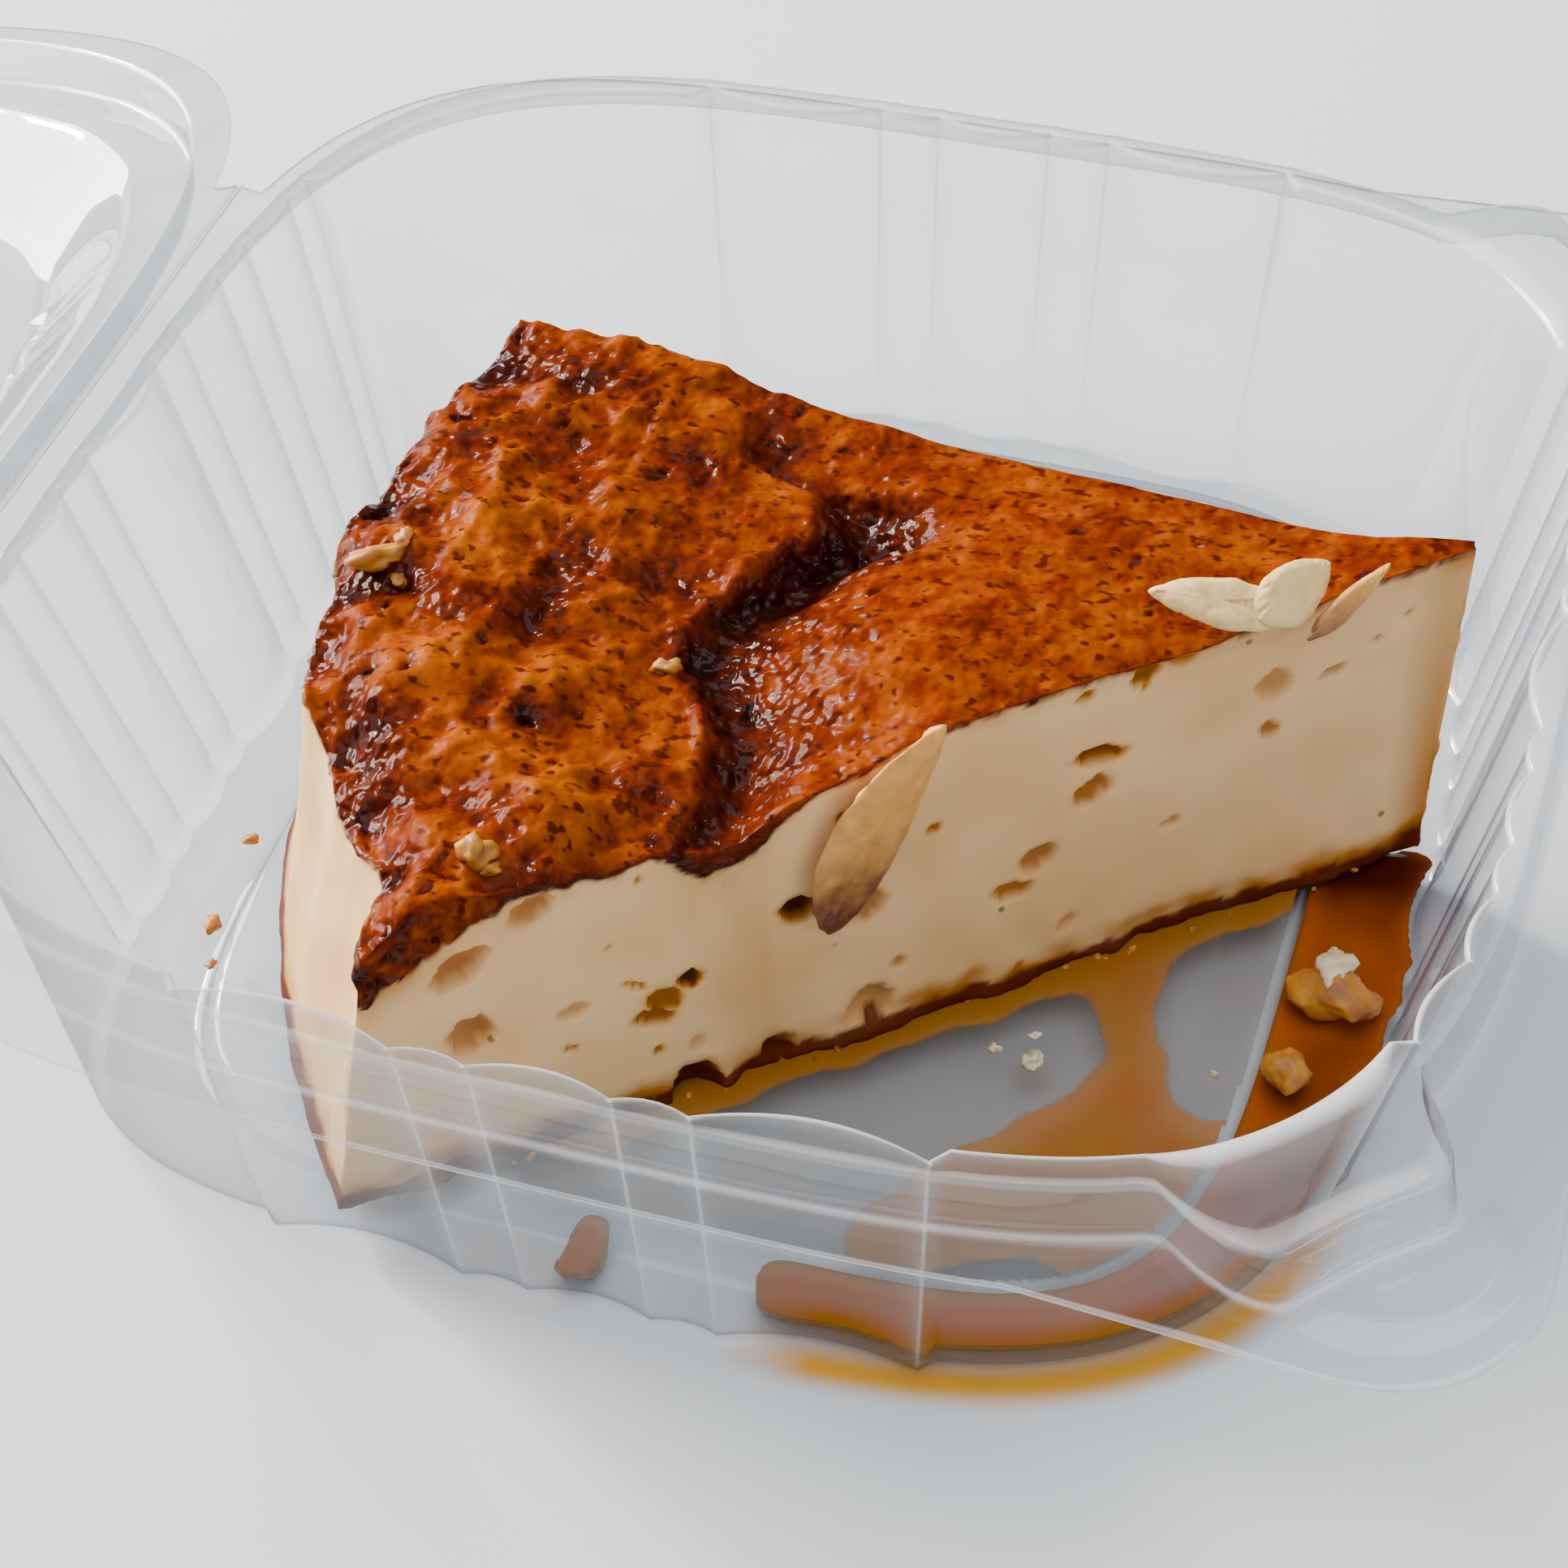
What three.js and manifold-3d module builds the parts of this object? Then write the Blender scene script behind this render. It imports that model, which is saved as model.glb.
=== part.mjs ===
// A wedge of caramel flan in a clear hinged box, with its lid laid open.
// Lengths are in millimetres and +Z is up. The part is first built in the tray's own frame, with
// the tray's middle on the table as its origin, +X away from the hinge and -Y to the front.
// The last lines move it so that the open box is centred over the part's origin.

import * as THREE from 'three';
import { mergeVertices } from 'three/addons/utils/BufferGeometryUtils.js';
import Module from 'manifold-3d';

const wasm = await Module();
wasm.setup();

// Clear sheet and rim, shared by the tray and the lid
const SHEET = 0.7;
const FIT_GAP = 0.3;
const RIM_HALF = 76;
const RIM_SQUARENESS = 4.2;
const RIM_Z = 32.4;
const HINGE_X = -77.2;
const HINGE_HALF = 44;
const HINGE_Z = RIM_Z + FIT_GAP / 2;
const HINGE_EDGE = FIT_GAP;

// Tray: a crest stands above the rim, and scalloped walls drop from it to a moat round a raised floor
const CREST_Z = 37.0;
const CREST_INNER_HALF = 68.9;
const CREST_OUTER_HALF = 71.2;
const CREST_FOOT_HALF = 71.9;
const CREST_SQUARENESS = 3.8;
const WALL_FOOT_Z = 3.0;
const WALL_FOOT_HALF = { left: 60, right: 62, side: 64.5 };
const WALL_FOOT_SQUARENESS = { left: 5, right: 3.5 };
const FOOT_FILLET = 1.6;
const FLOOR_Z = 3.6;
const FLOOR_HALF = { left: 48, right: 50, side: 56 };
const FLOOR_SQUARENESS = 5;
const FLOOR_SLOPE = 1.6;

// Scallops: where the ribs meet the crest, measured from the middle of each wall
const RIBS_FRONT_AND_BACK = [6, 12.4, 31.6];
const RIBS_LEFT = [7.5, 13, 22, 28, 37, 41];
const RIBS_RIGHT = [7.5, 13, 22, 28, 36.5, 48];
const SCALLOP_PER_WIDTH = 0.13;
const SCALLOP_FOOT_SHARE = 0.75;
const CORNER_STEP = 1.6;
const CORNER_SEGMENTS = 9;

// Corner tabs and snap knobs, at the two corners away from the hinge
const TAB_CENTRE = { x: 66.3, y: 63.4 };
const TAB_RADIUS = 13;
const TAB_BLEND = 5;
const KNOB_ANGLE = 45;
const KNOB_HALF_ANGLE = 8.4;
const KNOB_REACH = 9.2;
const KNOB_DIP = 1.8;

// Lid, described closed: a raised channel over the crest, then a slope up to a flat panel
const LID_CHANNEL_Z = CREST_Z + 0.6;
const LID_STEP_FOOT_HALF = 72.5;
const LID_STEP_TOP_HALF = 72.1;
const LID_SLOPE_FOOT_HALF = 66;
const LID_PANEL_HALF = 56;
const LID_PANEL_Z = RIM_Z + 12.3;
const LID_OPEN_TILT = 8.3;

// Flan wedge: one eighth of a round flan, its tip near the tray's right wall
const TIP = { x: 59.1, y: 10.1 };
const BACK_CUT_ANGLE = 172.6;
const FRONT_CUT_ANGLE = 220.8;
const TOP_RADIUS = 104;
const FOOT_RADIUS = 110.5;
const WEDGE_FOOT_Z = FLOOR_Z + FIT_GAP;
const TIP_RADIUS = 1.2;
const TIP_LEAN_TOP = { x: 2.2, y: 2.6 };
const TIP_LEAN_FOOT = { x: 1.2, y: -1.2 };
const TIP_LEAN_SHARE = 0.07;
const FOOT_SPREAD = 1.7;
const ALONG_STEPS = 38;
const ACROSS_STEPS = 24;
const SIDE_LEVELS = [0.86, 0.5, 0.2, 0.08, 0];

// Heights of the flan's top, as [distance from the tip, height]. The round edge is instead
// [share of the way from the back cut to the front cut, distance from the tip].
const FRONT_EDGE = [
  [0, 39], [25, 38.1], [51, 37.8], [63, 35.4], [71, 32.8], [80, 34.4], [90, 36.2], [98, 35.6], [104, 32.4],
];
const ROUND_EDGE = [
  [0, 96.4], [0.19, 97.8], [0.29, 100], [0.4, 102.2], [0.62, 103.8], [0.76, 102.2], [0.9, 100.4], [1, 104.4],
];
const BACK_EDGE = [[0, 39], [20, 37.6], [45, 36.4], [63, 36.2], [80, 38], [90, 38.4], [104, 37.2]];

// A dark trough bends across the top, as [share of the way across, distance from the tip, depth]
const TROUGH = [
  [0, 74, 0.4], [0.16, 69, 1.8], [0.24, 58, 3.4], [0.33, 56, 4.4], [0.44, 60.5, 3.8], [0.54, 65, 2.8],
  [0.66, 66.5, 2.2], [0.8, 66, 1.8], [0.9, 70.5, 1.6], [1, 73, 0.8],
];
const TROUGH_HALF_WIDTH = { inward: 5.5, outward: 3.2 };

// Broad humps, as [distance from the tip, half length, share of the way across, half width, height]
const HUMPS = [[46, 13, 0.76, 0.2, 1.6], [33, 11, 0.3, 0.22, 0.9]];

// Lumps of the skin: [size, height], the first of them only in the rough outer part
const ROUGH_FROM = 66;
const ROUGH_OVER = 16;
const ROUGH_LUMPS = [[4.6, 1.1], [8.5, 0.9]];
const SMOOTH_LUMPS = [7, 0.45];

// Bubbles cut open by the front cut: [distance from the tip, height, half length, half height, depth]
const BUBBLES = [
  [96.5, 28.0, 2.5, 1.9, 2.8], [96.1, 19.5, 2.0, 2.1, 2.6], [89.6, 32.2, 1.9, 1.5, 2.2],
  [86.8, 18.2, 1.3, 1.0, 1.2], [78.6, 15.6, 2.2, 2.0, 2.0], [75.8, 17.4, 1.2, 1.1, 2.0],
  [65.3, 21.8, 1.9, 1.6, 2.4], [58.8, 19.2, 2.1, 1.8, 2.2], [58.9, 7.3, 2.1, 1.9, 2.2],
  [68.0, 5.4, 1.8, 1.4, 1.6], [76.2, 4.8, 2.4, 2.2, 2.4], [35.7, 28.5, 2.4, 1.1, 2.0],
  [36.3, 24.4, 2.0, 1.6, 2.0], [41.6, 17.9, 1.8, 1.6, 2.0], [44.2, 14.9, 1.9, 1.1, 1.5],
  [18.3, 30.4, 1.7, 1.6, 1.8],
];

// Caramel: a pool along the moat, and one bead by itself in front
const POOL_FROM_ANGLE = -77;
const POOL_TO_ANGLE = 8;
const BEAD_FROM_ANGLE = -93.6;
const BEAD_TO_ANGLE = -90.2;
const CARAMEL_TOP_Z = 3.0;

const DEG = Math.PI / 180;

// Small helpers

function hash(i, j) {
  const wave = Math.sin(i * 127.1 + j * 311.7) * 43758.5453;
  return wave - Math.floor(wave);
}

function noise(x, y) {
  const i = Math.floor(x);
  const j = Math.floor(y);
  const fx = x - i;
  const fy = y - j;
  const sx = fx * fx * (3 - 2 * fx);
  const sy = fy * fy * (3 - 2 * fy);
  const low = hash(i, j) * (1 - sx) + hash(i + 1, j) * sx;
  const high = hash(i, j + 1) * (1 - sx) + hash(i + 1, j + 1) * sx;
  return (low * (1 - sy) + high * sy) * 2 - 1;
}

// Reads column `column` of a table at `at` in its first column, eased between the rows
function along(table, at, column = 1) {
  if (at <= table[0][0]) return table[0][column];
  for (let k = 1; k < table.length; k += 1) {
    if (at <= table[k][0]) {
      const share = (at - table[k - 1][0]) / (table[k][0] - table[k - 1][0]);
      const eased = share * share * (3 - 2 * share);
      return table[k - 1][column] * (1 - eased) + table[k][column] * eased;
    }
  }
  return table[table.length - 1][column];
}

// A point of a rounded square in direction `angle`, moved in along its normal by `inset`
function roundedSquare(angle, half, squareness, inset = 0) {
  const c = Math.cos(angle);
  const s = Math.sin(angle);
  const halfX = typeof half === 'number' ? half : (c < 0 ? half.left : half.right);
  const halfY = typeof half === 'number' ? half : half.side;
  const power = typeof squareness === 'number' ? squareness : (c < 0 ? squareness.left : squareness.right);
  const sum = Math.abs(c / halfX) ** power + Math.abs(s / halfY) ** power;
  const radius = sum ** (-1 / power);
  const x = radius * c;
  const y = radius * s;
  const nx = Math.sign(c) * Math.abs(x / halfX) ** (power - 1) / halfX;
  const ny = Math.sign(s) * Math.abs(y / halfY) ** (power - 1) / halfY;
  const length = Math.hypot(nx, ny);
  return [x - inset * nx / length, y - inset * ny / length];
}

// Stations round the wall: each has its direction and how far the scallop stands in from the ribs
function wallStations() {
  const sides = [
    { turn: 0, ribs: RIBS_RIGHT }, { turn: 90, ribs: RIBS_FRONT_AND_BACK },
    { turn: 180, ribs: RIBS_LEFT }, { turn: 270, ribs: RIBS_FRONT_AND_BACK },
  ];
  const toAngle = (turn, offset) => turn * DEG + Math.atan2(offset, CREST_INNER_HALF * 0.985);
  const stations = [];
  sides.forEach(({ turn, ribs }, index) => {
    const places = [...ribs.map((rib) => -rib).reverse(), ...ribs];
    places.slice(0, -1).forEach((from, k) => {
      const width = places[k + 1] - from;
      const segments = Math.max(2, Math.round(width / 3.6));
      for (let step = 0; step < segments; step += 1) {
        const share = step / segments;
        const inset = SCALLOP_PER_WIDTH * width * 4 * share * (1 - share);
        stations.push({ angle: toAngle(turn, from + share * width), inset });
      }
    });
    const last = places[places.length - 1];
    stations.push({ angle: toAngle(turn, last), inset: 0 });
    const next = sides[(index + 1) % 4];
    const start = toAngle(turn, last + CORNER_STEP);
    const end = toAngle(turn + 90, -(next.ribs[next.ribs.length - 1] + CORNER_STEP));
    for (let step = 0; step <= CORNER_SEGMENTS; step += 1) {
      stations.push({ angle: start + (end - start) * step / CORNER_SEGMENTS, inset: CORNER_STEP });
    }
  });
  return stations.map((station) => ({ ...station, angle: wrap(station.angle) }))
    .sort((a, b) => a.angle - b.angle);
}

function wrap(angle) {
  return angle < 0 ? angle + 2 * Math.PI : angle % (2 * Math.PI);
}

// Stations round the rim: even, with more where the knobs, tabs and hinge ends are
function rimStations() {
  const angles = [];
  for (let k = 0; k < 48; k += 1) angles.push(k * 7.5 * DEG);
  [KNOB_ANGLE, 360 - KNOB_ANGLE].forEach((middle) => {
    [0, 1.6, 3.2, 4.8, 6.2, 7.4, 8.4, 9.6, 11.5, 14].forEach((offset) => {
      angles.push((middle + offset) * DEG, (middle - offset) * DEG);
    });
  });
  [-1, 1].forEach((sign) => {
    [HINGE_HALF, HINGE_HALF + 1.4].forEach((y) => {
      angles.push(wrap(Math.atan2(sign * y, HINGE_X)));
    });
  });
  angles.sort((a, b) => a - b);
  return angles.filter((angle, k) => k === 0 || angle - angles[k - 1] > 0.3 * DEG)
    .map((angle) => ({ angle, inset: 0 }));
}

const WALL = wallStations();
const RIM = rimStations();
const FLOOR = Array.from({ length: 44 }, (_, k) => ({ angle: (k + 0.5) * 2 * Math.PI / 44, inset: 0 }));

// How far the snap knob pushes the crest out in direction `angle`
function knob(angle) {
  const fold = Math.abs(Math.atan2(Math.sin(angle), Math.cos(angle))) / DEG;
  const off = Math.abs(fold - KNOB_ANGLE) / KNOB_HALF_ANGLE;
  return off >= 1 ? 0 : KNOB_REACH * (1 - off ** 5) - KNOB_DIP * Math.max(0, 1 - 3 * off * off);
}

function pushOut([x, y], reach) {
  const radius = Math.hypot(x, y);
  return [x * (radius + reach) / radius, y * (radius + reach) / radius];
}

// The tightest outline round both corner tabs and a rounded square just inside the rim's edge
function tabOutline() {
  const points = [];
  for (let turn = 0; turn < 360; turn += 3) {
    const angle = turn * DEG;
    points.push(roundedSquare(angle, RIM_HALF - TAB_BLEND, RIM_SQUARENESS));
    [-1, 1].forEach((sign) => points.push([
      TAB_CENTRE.x + TAB_RADIUS * Math.cos(angle),
      sign * TAB_CENTRE.y + TAB_RADIUS * Math.sin(angle),
    ]));
  }
  points.sort((p, q) => p[0] - q[0] || p[1] - q[1]);
  const turnsLeft = (o, p, q) => (p[0] - o[0]) * (q[1] - o[1]) - (p[1] - o[1]) * (q[0] - o[0]) > 1e-9;
  const half = (list) => {
    const kept = [];
    list.forEach((point) => {
      while (kept.length > 1 && !turnsLeft(kept[kept.length - 2], kept[kept.length - 1], point)) kept.pop();
      kept.push(point);
    });
    return kept.slice(0, -1);
  };
  return [...half(points), ...half(points.reverse())];
}

const TAB_OUTLINE = tabOutline();

// The rim's outer edge in direction `angle`, with its tabs and its straight hinge edge
function rimEdge(angle) {
  const c = Math.cos(angle);
  const s = Math.sin(angle);
  const hingeEdge = HINGE_X + HINGE_EDGE;
  if (c < 0 && Math.abs(hingeEdge * s / c) <= HINGE_HALF + 0.01) {
    return [hingeEdge, hingeEdge * s / c];
  }
  let reach = Math.hypot(...roundedSquare(angle, RIM_HALF, RIM_SQUARENESS));
  TAB_OUTLINE.forEach(([ax, ay], k) => {
    const [bx, by] = TAB_OUTLINE[(k + 1) % TAB_OUTLINE.length];
    const across = c * (by - ay) - s * (bx - ax);
    const share = (s * ax - c * ay) / across;
    if (share >= 0 && share <= 1) {
      reach = Math.max(reach, (ax + share * (bx - ax)) * c + (ay + share * (by - ay)) * s);
    }
  });
  return [reach * c, reach * s];
}

function ring(stations, place) {
  return stations.map((station) => {
    const [x, y, z] = place(station);
    return { x, y, z, angle: station.angle };
  });
}

function lift([x, y], z) {
  return [x, y, z];
}

// Joins rings of any counts into one closed skin, with the first and the last ring closed by a fan
function closedSkin(rings) {
  const points = [];
  const faces = [];
  const starts = rings.map((points3) => {
    const start = points.length;
    points3.forEach(({ x, y, z }) => points.push([x, y, z]));
    return start;
  });
  const cap = (index, flip) => {
    const list = rings[index];
    const centre = points.length;
    const mean = (key) => list.reduce((sum, p) => sum + p[key], 0) / list.length;
    points.push([mean('x'), mean('y'), mean('z')]);
    list.forEach((_, k) => {
      const a = starts[index] + k;
      const b = starts[index] + (k + 1) % list.length;
      faces.push(flip ? [centre, b, a] : [centre, a, b]);
    });
  };
  cap(0, false);
  for (let r = 0; r + 1 < rings.length; r += 1) {
    const inner = rings[r];
    const outer = rings[r + 1];
    let i = 0;
    let j = 0;
    while (i < inner.length || j < outer.length) {
      const a = starts[r] + i % inner.length;
      const b = starts[r + 1] + j % outer.length;
      const nextInner = i + 1 < inner.length ? inner[i + 1].angle : inner[0].angle + 2 * Math.PI;
      const nextOuter = j + 1 < outer.length ? outer[j + 1].angle : outer[0].angle + 2 * Math.PI;
      if (j >= outer.length || (i < inner.length && nextInner <= nextOuter)) {
        faces.push([a, b, starts[r] + (i + 1) % inner.length]);
        i += 1;
      } else {
        faces.push([a, b, starts[r + 1] + (j + 1) % outer.length]);
        j += 1;
      }
    }
  }
  cap(rings.length - 1, true);
  return toGeometry(points, faces);
}

function toGeometry(points, faces) {
  const geometry = new THREE.BufferGeometry();
  geometry.setAttribute('position', new THREE.Float32BufferAttribute(points.flat(), 3));
  geometry.setIndex(faces.flat());
  return geometry;
}

function toSolid(geometry) {
  const bare = geometry.clone();
  ['normal', 'uv'].forEach((name) => bare.deleteAttribute(name));
  const merged = mergeVertices(bare, 1e-4);
  return new wasm.Manifold(new wasm.Mesh({
    numProp: 3,
    vertProperties: new Float32Array(merged.attributes.position.array),
    triVerts: new Uint32Array(merged.index.array),
  }));
}

function fromSolid(solid) {
  const mesh = solid.getMesh();
  const geometry = new THREE.BufferGeometry();
  geometry.setAttribute('position', new THREE.BufferAttribute(new Float32Array(mesh.vertProperties), 3));
  geometry.setIndex(new THREE.BufferAttribute(new Uint32Array(mesh.triVerts), 1));
  return geometry;
}

function material(color, roughness, opacity = 1) {
  return new THREE.MeshStandardMaterial({
    color, roughness, metalness: 0, transparent: opacity < 1, opacity,
  });
}

const CLEAR_PLASTIC = material(0xe8edef, 0.08, 0.25);
const CUSTARD = material(0xdcc39c, 0.42);
const CARAMEL = material(0x7a3410, 0.15);
const ALMOND = material(0xe3cfa4, 0.55);
const TOASTED_NUT = material(0xc08a4a, 0.6);

// Box

function wallFoot(station, extra = 0) {
  const inset = station.inset * SCALLOP_FOOT_SHARE + extra;
  return roundedSquare(station.angle, WALL_FOOT_HALF, WALL_FOOT_SQUARENESS, inset);
}

function wallTop(station, extra = 0) {
  return roundedSquare(station.angle, CREST_INNER_HALF, CREST_SQUARENESS, station.inset + extra);
}

function crest(angle, half) {
  return pushOut(roundedSquare(angle, half, CREST_SQUARENESS), knob(angle));
}

function floorEdge(station, spread) {
  return roundedSquare(station.angle, FLOOR_HALF, FLOOR_SQUARENESS, -spread);
}

function boxTray() {
  const upper = [
    ring(FLOOR, (s) => lift(floorEdge(s, 0), FLOOR_Z)),
    ring(FLOOR, (s) => lift(floorEdge(s, FLOOR_SLOPE), SHEET)),
    ring(WALL, (s) => lift(wallFoot(s, FOOT_FILLET), SHEET)),
    ring(WALL, (s) => lift(wallFoot(s), WALL_FOOT_Z)),
    ring(WALL, (s) => lift(wallTop(s), CREST_Z)),
    ring(RIM, (s) => lift(crest(s.angle, CREST_OUTER_HALF), CREST_Z)),
    ring(RIM, (s) => lift(crest(s.angle, CREST_FOOT_HALF), RIM_Z)),
    ring(RIM, (s) => lift(rimEdge(s.angle), RIM_Z)),
  ];
  const under = [
    ring(RIM, (s) => lift(rimEdge(s.angle), RIM_Z - SHEET)),
    ring(RIM, (s) => lift(crest(s.angle, CREST_FOOT_HALF - SHEET), RIM_Z - SHEET)),
    ring(RIM, (s) => lift(crest(s.angle, CREST_OUTER_HALF - SHEET), CREST_Z - SHEET)),
    ring(WALL, (s) => lift(wallTop(s, -SHEET), CREST_Z - SHEET)),
    ring(WALL, (s) => lift(wallFoot(s, -SHEET), WALL_FOOT_Z - SHEET / 2)),
    ring(WALL, (s) => lift(wallFoot(s, FOOT_FILLET - SHEET), 0)),
    ring(FLOOR, (s) => lift(floorEdge(s, FLOOR_SLOPE - SHEET), 0)),
    ring(FLOOR, (s) => lift(floorEdge(s, -SHEET), FLOOR_Z - SHEET)),
  ];
  return closedSkin([...upper, ...under]);
}

// The lid is built closed, with its under side first, and the hinge turns it open
function boxLid() {
  const panel = (s, extra) => roundedSquare(s.angle, LID_PANEL_HALF, CREST_SQUARENESS, s.inset * 0.6 + extra);
  const rimZ = RIM_Z + FIT_GAP;
  const under = [
    ring(WALL, (s) => lift(panel(s, 0), LID_PANEL_Z)),
    ring(RIM, (s) => lift(roundedSquare(s.angle, LID_SLOPE_FOOT_HALF, CREST_SQUARENESS), LID_CHANNEL_Z)),
    ring(RIM, (s) => lift(crest(s.angle, LID_STEP_TOP_HALF), LID_CHANNEL_Z)),
    ring(RIM, (s) => lift(crest(s.angle, LID_STEP_FOOT_HALF), rimZ)),
    ring(RIM, (s) => lift(rimEdge(s.angle), rimZ)),
  ];
  const upper = [
    ring(RIM, (s) => lift(rimEdge(s.angle), rimZ + SHEET)),
    ring(RIM, (s) => lift(crest(s.angle, LID_STEP_FOOT_HALF + SHEET), rimZ + SHEET)),
    ring(RIM, (s) => lift(crest(s.angle, LID_STEP_TOP_HALF + SHEET), LID_CHANNEL_Z + SHEET)),
    ring(RIM, (s) => lift(roundedSquare(s.angle, LID_SLOPE_FOOT_HALF, CREST_SQUARENESS, -SHEET / 2),
      LID_CHANNEL_Z + SHEET)),
    ring(WALL, (s) => lift(panel(s, -SHEET / 2), LID_PANEL_Z + SHEET)),
  ];
  const skin = closedSkin([...upper.reverse(), ...under.reverse()]);
  skin.translate(-HINGE_X, 0, -HINGE_Z);
  return skin;
}

// Flan

// `share` runs from 0 at the back cut to 1 at the front cut
function wedgeAngle(share) {
  return (BACK_CUT_ANGLE + (FRONT_CUT_ANGLE - BACK_CUT_ANGLE) * share) * DEG;
}

function topRadius(share) {
  return along(ROUND_EDGE, share) + 0.7 * noise(share * 14, 3.7);
}

// Height of the caramel top
function topHeight(distance, share) {
  const edge = topRadius(share);
  const scaled = distance * TOP_RADIUS / edge;
  const blend = share * share * (3 - 2 * share);
  let height = along(BACK_EDGE, scaled) * (1 - blend) + along(FRONT_EDGE, scaled) * blend;
  const troughAt = along(TROUGH, share, 1);
  const troughDepth = along(TROUGH, share, 2);
  const troughWidth = scaled > troughAt ? TROUGH_HALF_WIDTH.outward : TROUGH_HALF_WIDTH.inward;
  height -= troughDepth * Math.exp(-(((scaled - troughAt) / troughWidth) ** 2));
  HUMPS.forEach(([middle, halfLength, across, halfWidth, rise]) => {
    height += rise * Math.exp(-(((scaled - middle) / halfLength) ** 2) - (((share - across) / halfWidth) ** 2));
  });
  const rough = Math.min(1, Math.max(0, (scaled - ROUGH_FROM) / ROUGH_OVER));
  const x = distance * Math.cos(wedgeAngle(share));
  const y = distance * Math.sin(wedgeAngle(share));
  ROUGH_LUMPS.forEach(([size, rise], k) => {
    height += rough * rise * noise(x / size + 9 + k, y / size);
  });
  const [size, rise] = SMOOTH_LUMPS;
  return height + rise * noise(x / size + 31, y / size);
}

// A point of the wedge at `level`, 0 at the foot and 1 at the top
function wedgePoint(fraction, share, level) {
  const radius = FOOT_RADIUS + (topRadius(share) - FOOT_RADIUS) * level ** 0.8;
  const distance = TIP_RADIUS + (radius - TIP_RADIUS) * fraction;
  const topDistance = TIP_RADIUS + (topRadius(share) - TIP_RADIUS) * fraction;
  const angle = wedgeAngle(share);
  const height = topHeight(topDistance, share);
  const z = WEDGE_FOOT_Z + (height - WEDGE_FOOT_Z) * level;
  const lean = Math.max(0, 1 - fraction / TIP_LEAN_SHARE);
  const leanX = lean * (TIP_LEAN_FOOT.x + (TIP_LEAN_TOP.x - TIP_LEAN_FOOT.x) * level);
  const leanY = lean * (TIP_LEAN_FOOT.y + (TIP_LEAN_TOP.y - TIP_LEAN_FOOT.y) * level);
  const uneven = 1 + 0.5 * noise(distance / 3.1, level * 5);
  const spread = FOOT_SPREAD * (1 - level) ** 6 * share ** 8 * (1 - lean) * uneven;
  const cut = FRONT_CUT_ANGLE * DEG;
  return [
    TIP.x + distance * Math.cos(angle) + leanX - spread * Math.sin(cut),
    TIP.y + distance * Math.sin(angle) + leanY + spread * Math.cos(cut),
    z,
  ];
}

function wedgeBody() {
  const points = [];
  const faces = [];
  const top = (i, j) => i * (ACROSS_STEPS + 1) + j;
  for (let i = 0; i <= ALONG_STEPS; i += 1) {
    for (let j = 0; j <= ACROSS_STEPS; j += 1) {
      points.push(wedgePoint(i / ALONG_STEPS, j / ACROSS_STEPS, 1));
    }
  }
  for (let i = 0; i < ALONG_STEPS; i += 1) {
    for (let j = 0; j < ACROSS_STEPS; j += 1) {
      faces.push([top(i, j), top(i + 1, j), top(i + 1, j + 1)], [top(i, j), top(i + 1, j + 1), top(i, j + 1)]);
    }
  }
  const loop = [];
  for (let i = 0; i < ALONG_STEPS; i += 1) loop.push([i, 0]);
  for (let j = 0; j < ACROSS_STEPS; j += 1) loop.push([ALONG_STEPS, j]);
  for (let i = ALONG_STEPS; i > 0; i -= 1) loop.push([i, ACROSS_STEPS]);
  for (let j = ACROSS_STEPS; j > 0; j -= 1) loop.push([0, j]);
  let above = loop.map(([i, j]) => top(i, j));
  SIDE_LEVELS.forEach((level) => {
    const below = loop.map(([i, j]) => {
      points.push(wedgePoint(i / ALONG_STEPS, j / ACROSS_STEPS, level));
      return points.length - 1;
    });
    loop.forEach((_, k) => {
      const next = (k + 1) % loop.length;
      faces.push([above[k], below[next], above[next]], [above[k], below[k], below[next]]);
    });
    above = below;
  });
  const middle = wedgePoint(0.6, 0.5, 0);
  points.push(middle);
  above.forEach((from, k) => faces.push([points.length - 1, above[(k + 1) % above.length], from]));
  return toSolid(toGeometry(points, faces));
}

// A point on the front cut, `out` in front of it
function onFrontCut(distance, height, out = 0) {
  const angle = FRONT_CUT_ANGLE * DEG;
  return new THREE.Vector3(
    TIP.x + distance * Math.cos(angle) - out * Math.sin(angle),
    TIP.y + distance * Math.sin(angle) + out * Math.cos(angle),
    height,
  );
}

function bubble([distance, height, halfWidth, halfHeight, depth]) {
  const ball = new THREE.IcosahedronGeometry(1, 1);
  ball.scale(halfWidth, depth, halfHeight);
  ball.rotateY(20 * DEG);
  ball.rotateZ(FRONT_CUT_ANGLE * DEG);
  const centre = onFrontCut(distance, height);
  ball.translate(centre.x, centre.y, centre.z);
  return toSolid(ball);
}

// The room inside the tray's walls, with a gap all round
function roomInTray() {
  const gap = 0.45;
  return toSolid(closedSkin([
    ring(WALL, (s) => lift(wallTop(s, gap), CREST_Z * 2)),
    ring(WALL, (s) => lift(wallTop(s, gap), CREST_Z)),
    ring(WALL, (s) => lift(wallFoot(s, gap), WALL_FOOT_Z)),
  ]));
}

function flanWedge() {
  let wedge = wedgeBody();
  BUBBLES.forEach((row) => {
    wedge = wedge.subtract(bubble(row));
  });
  return fromSolid(wedge.intersect(roomInTray()));
}

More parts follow.
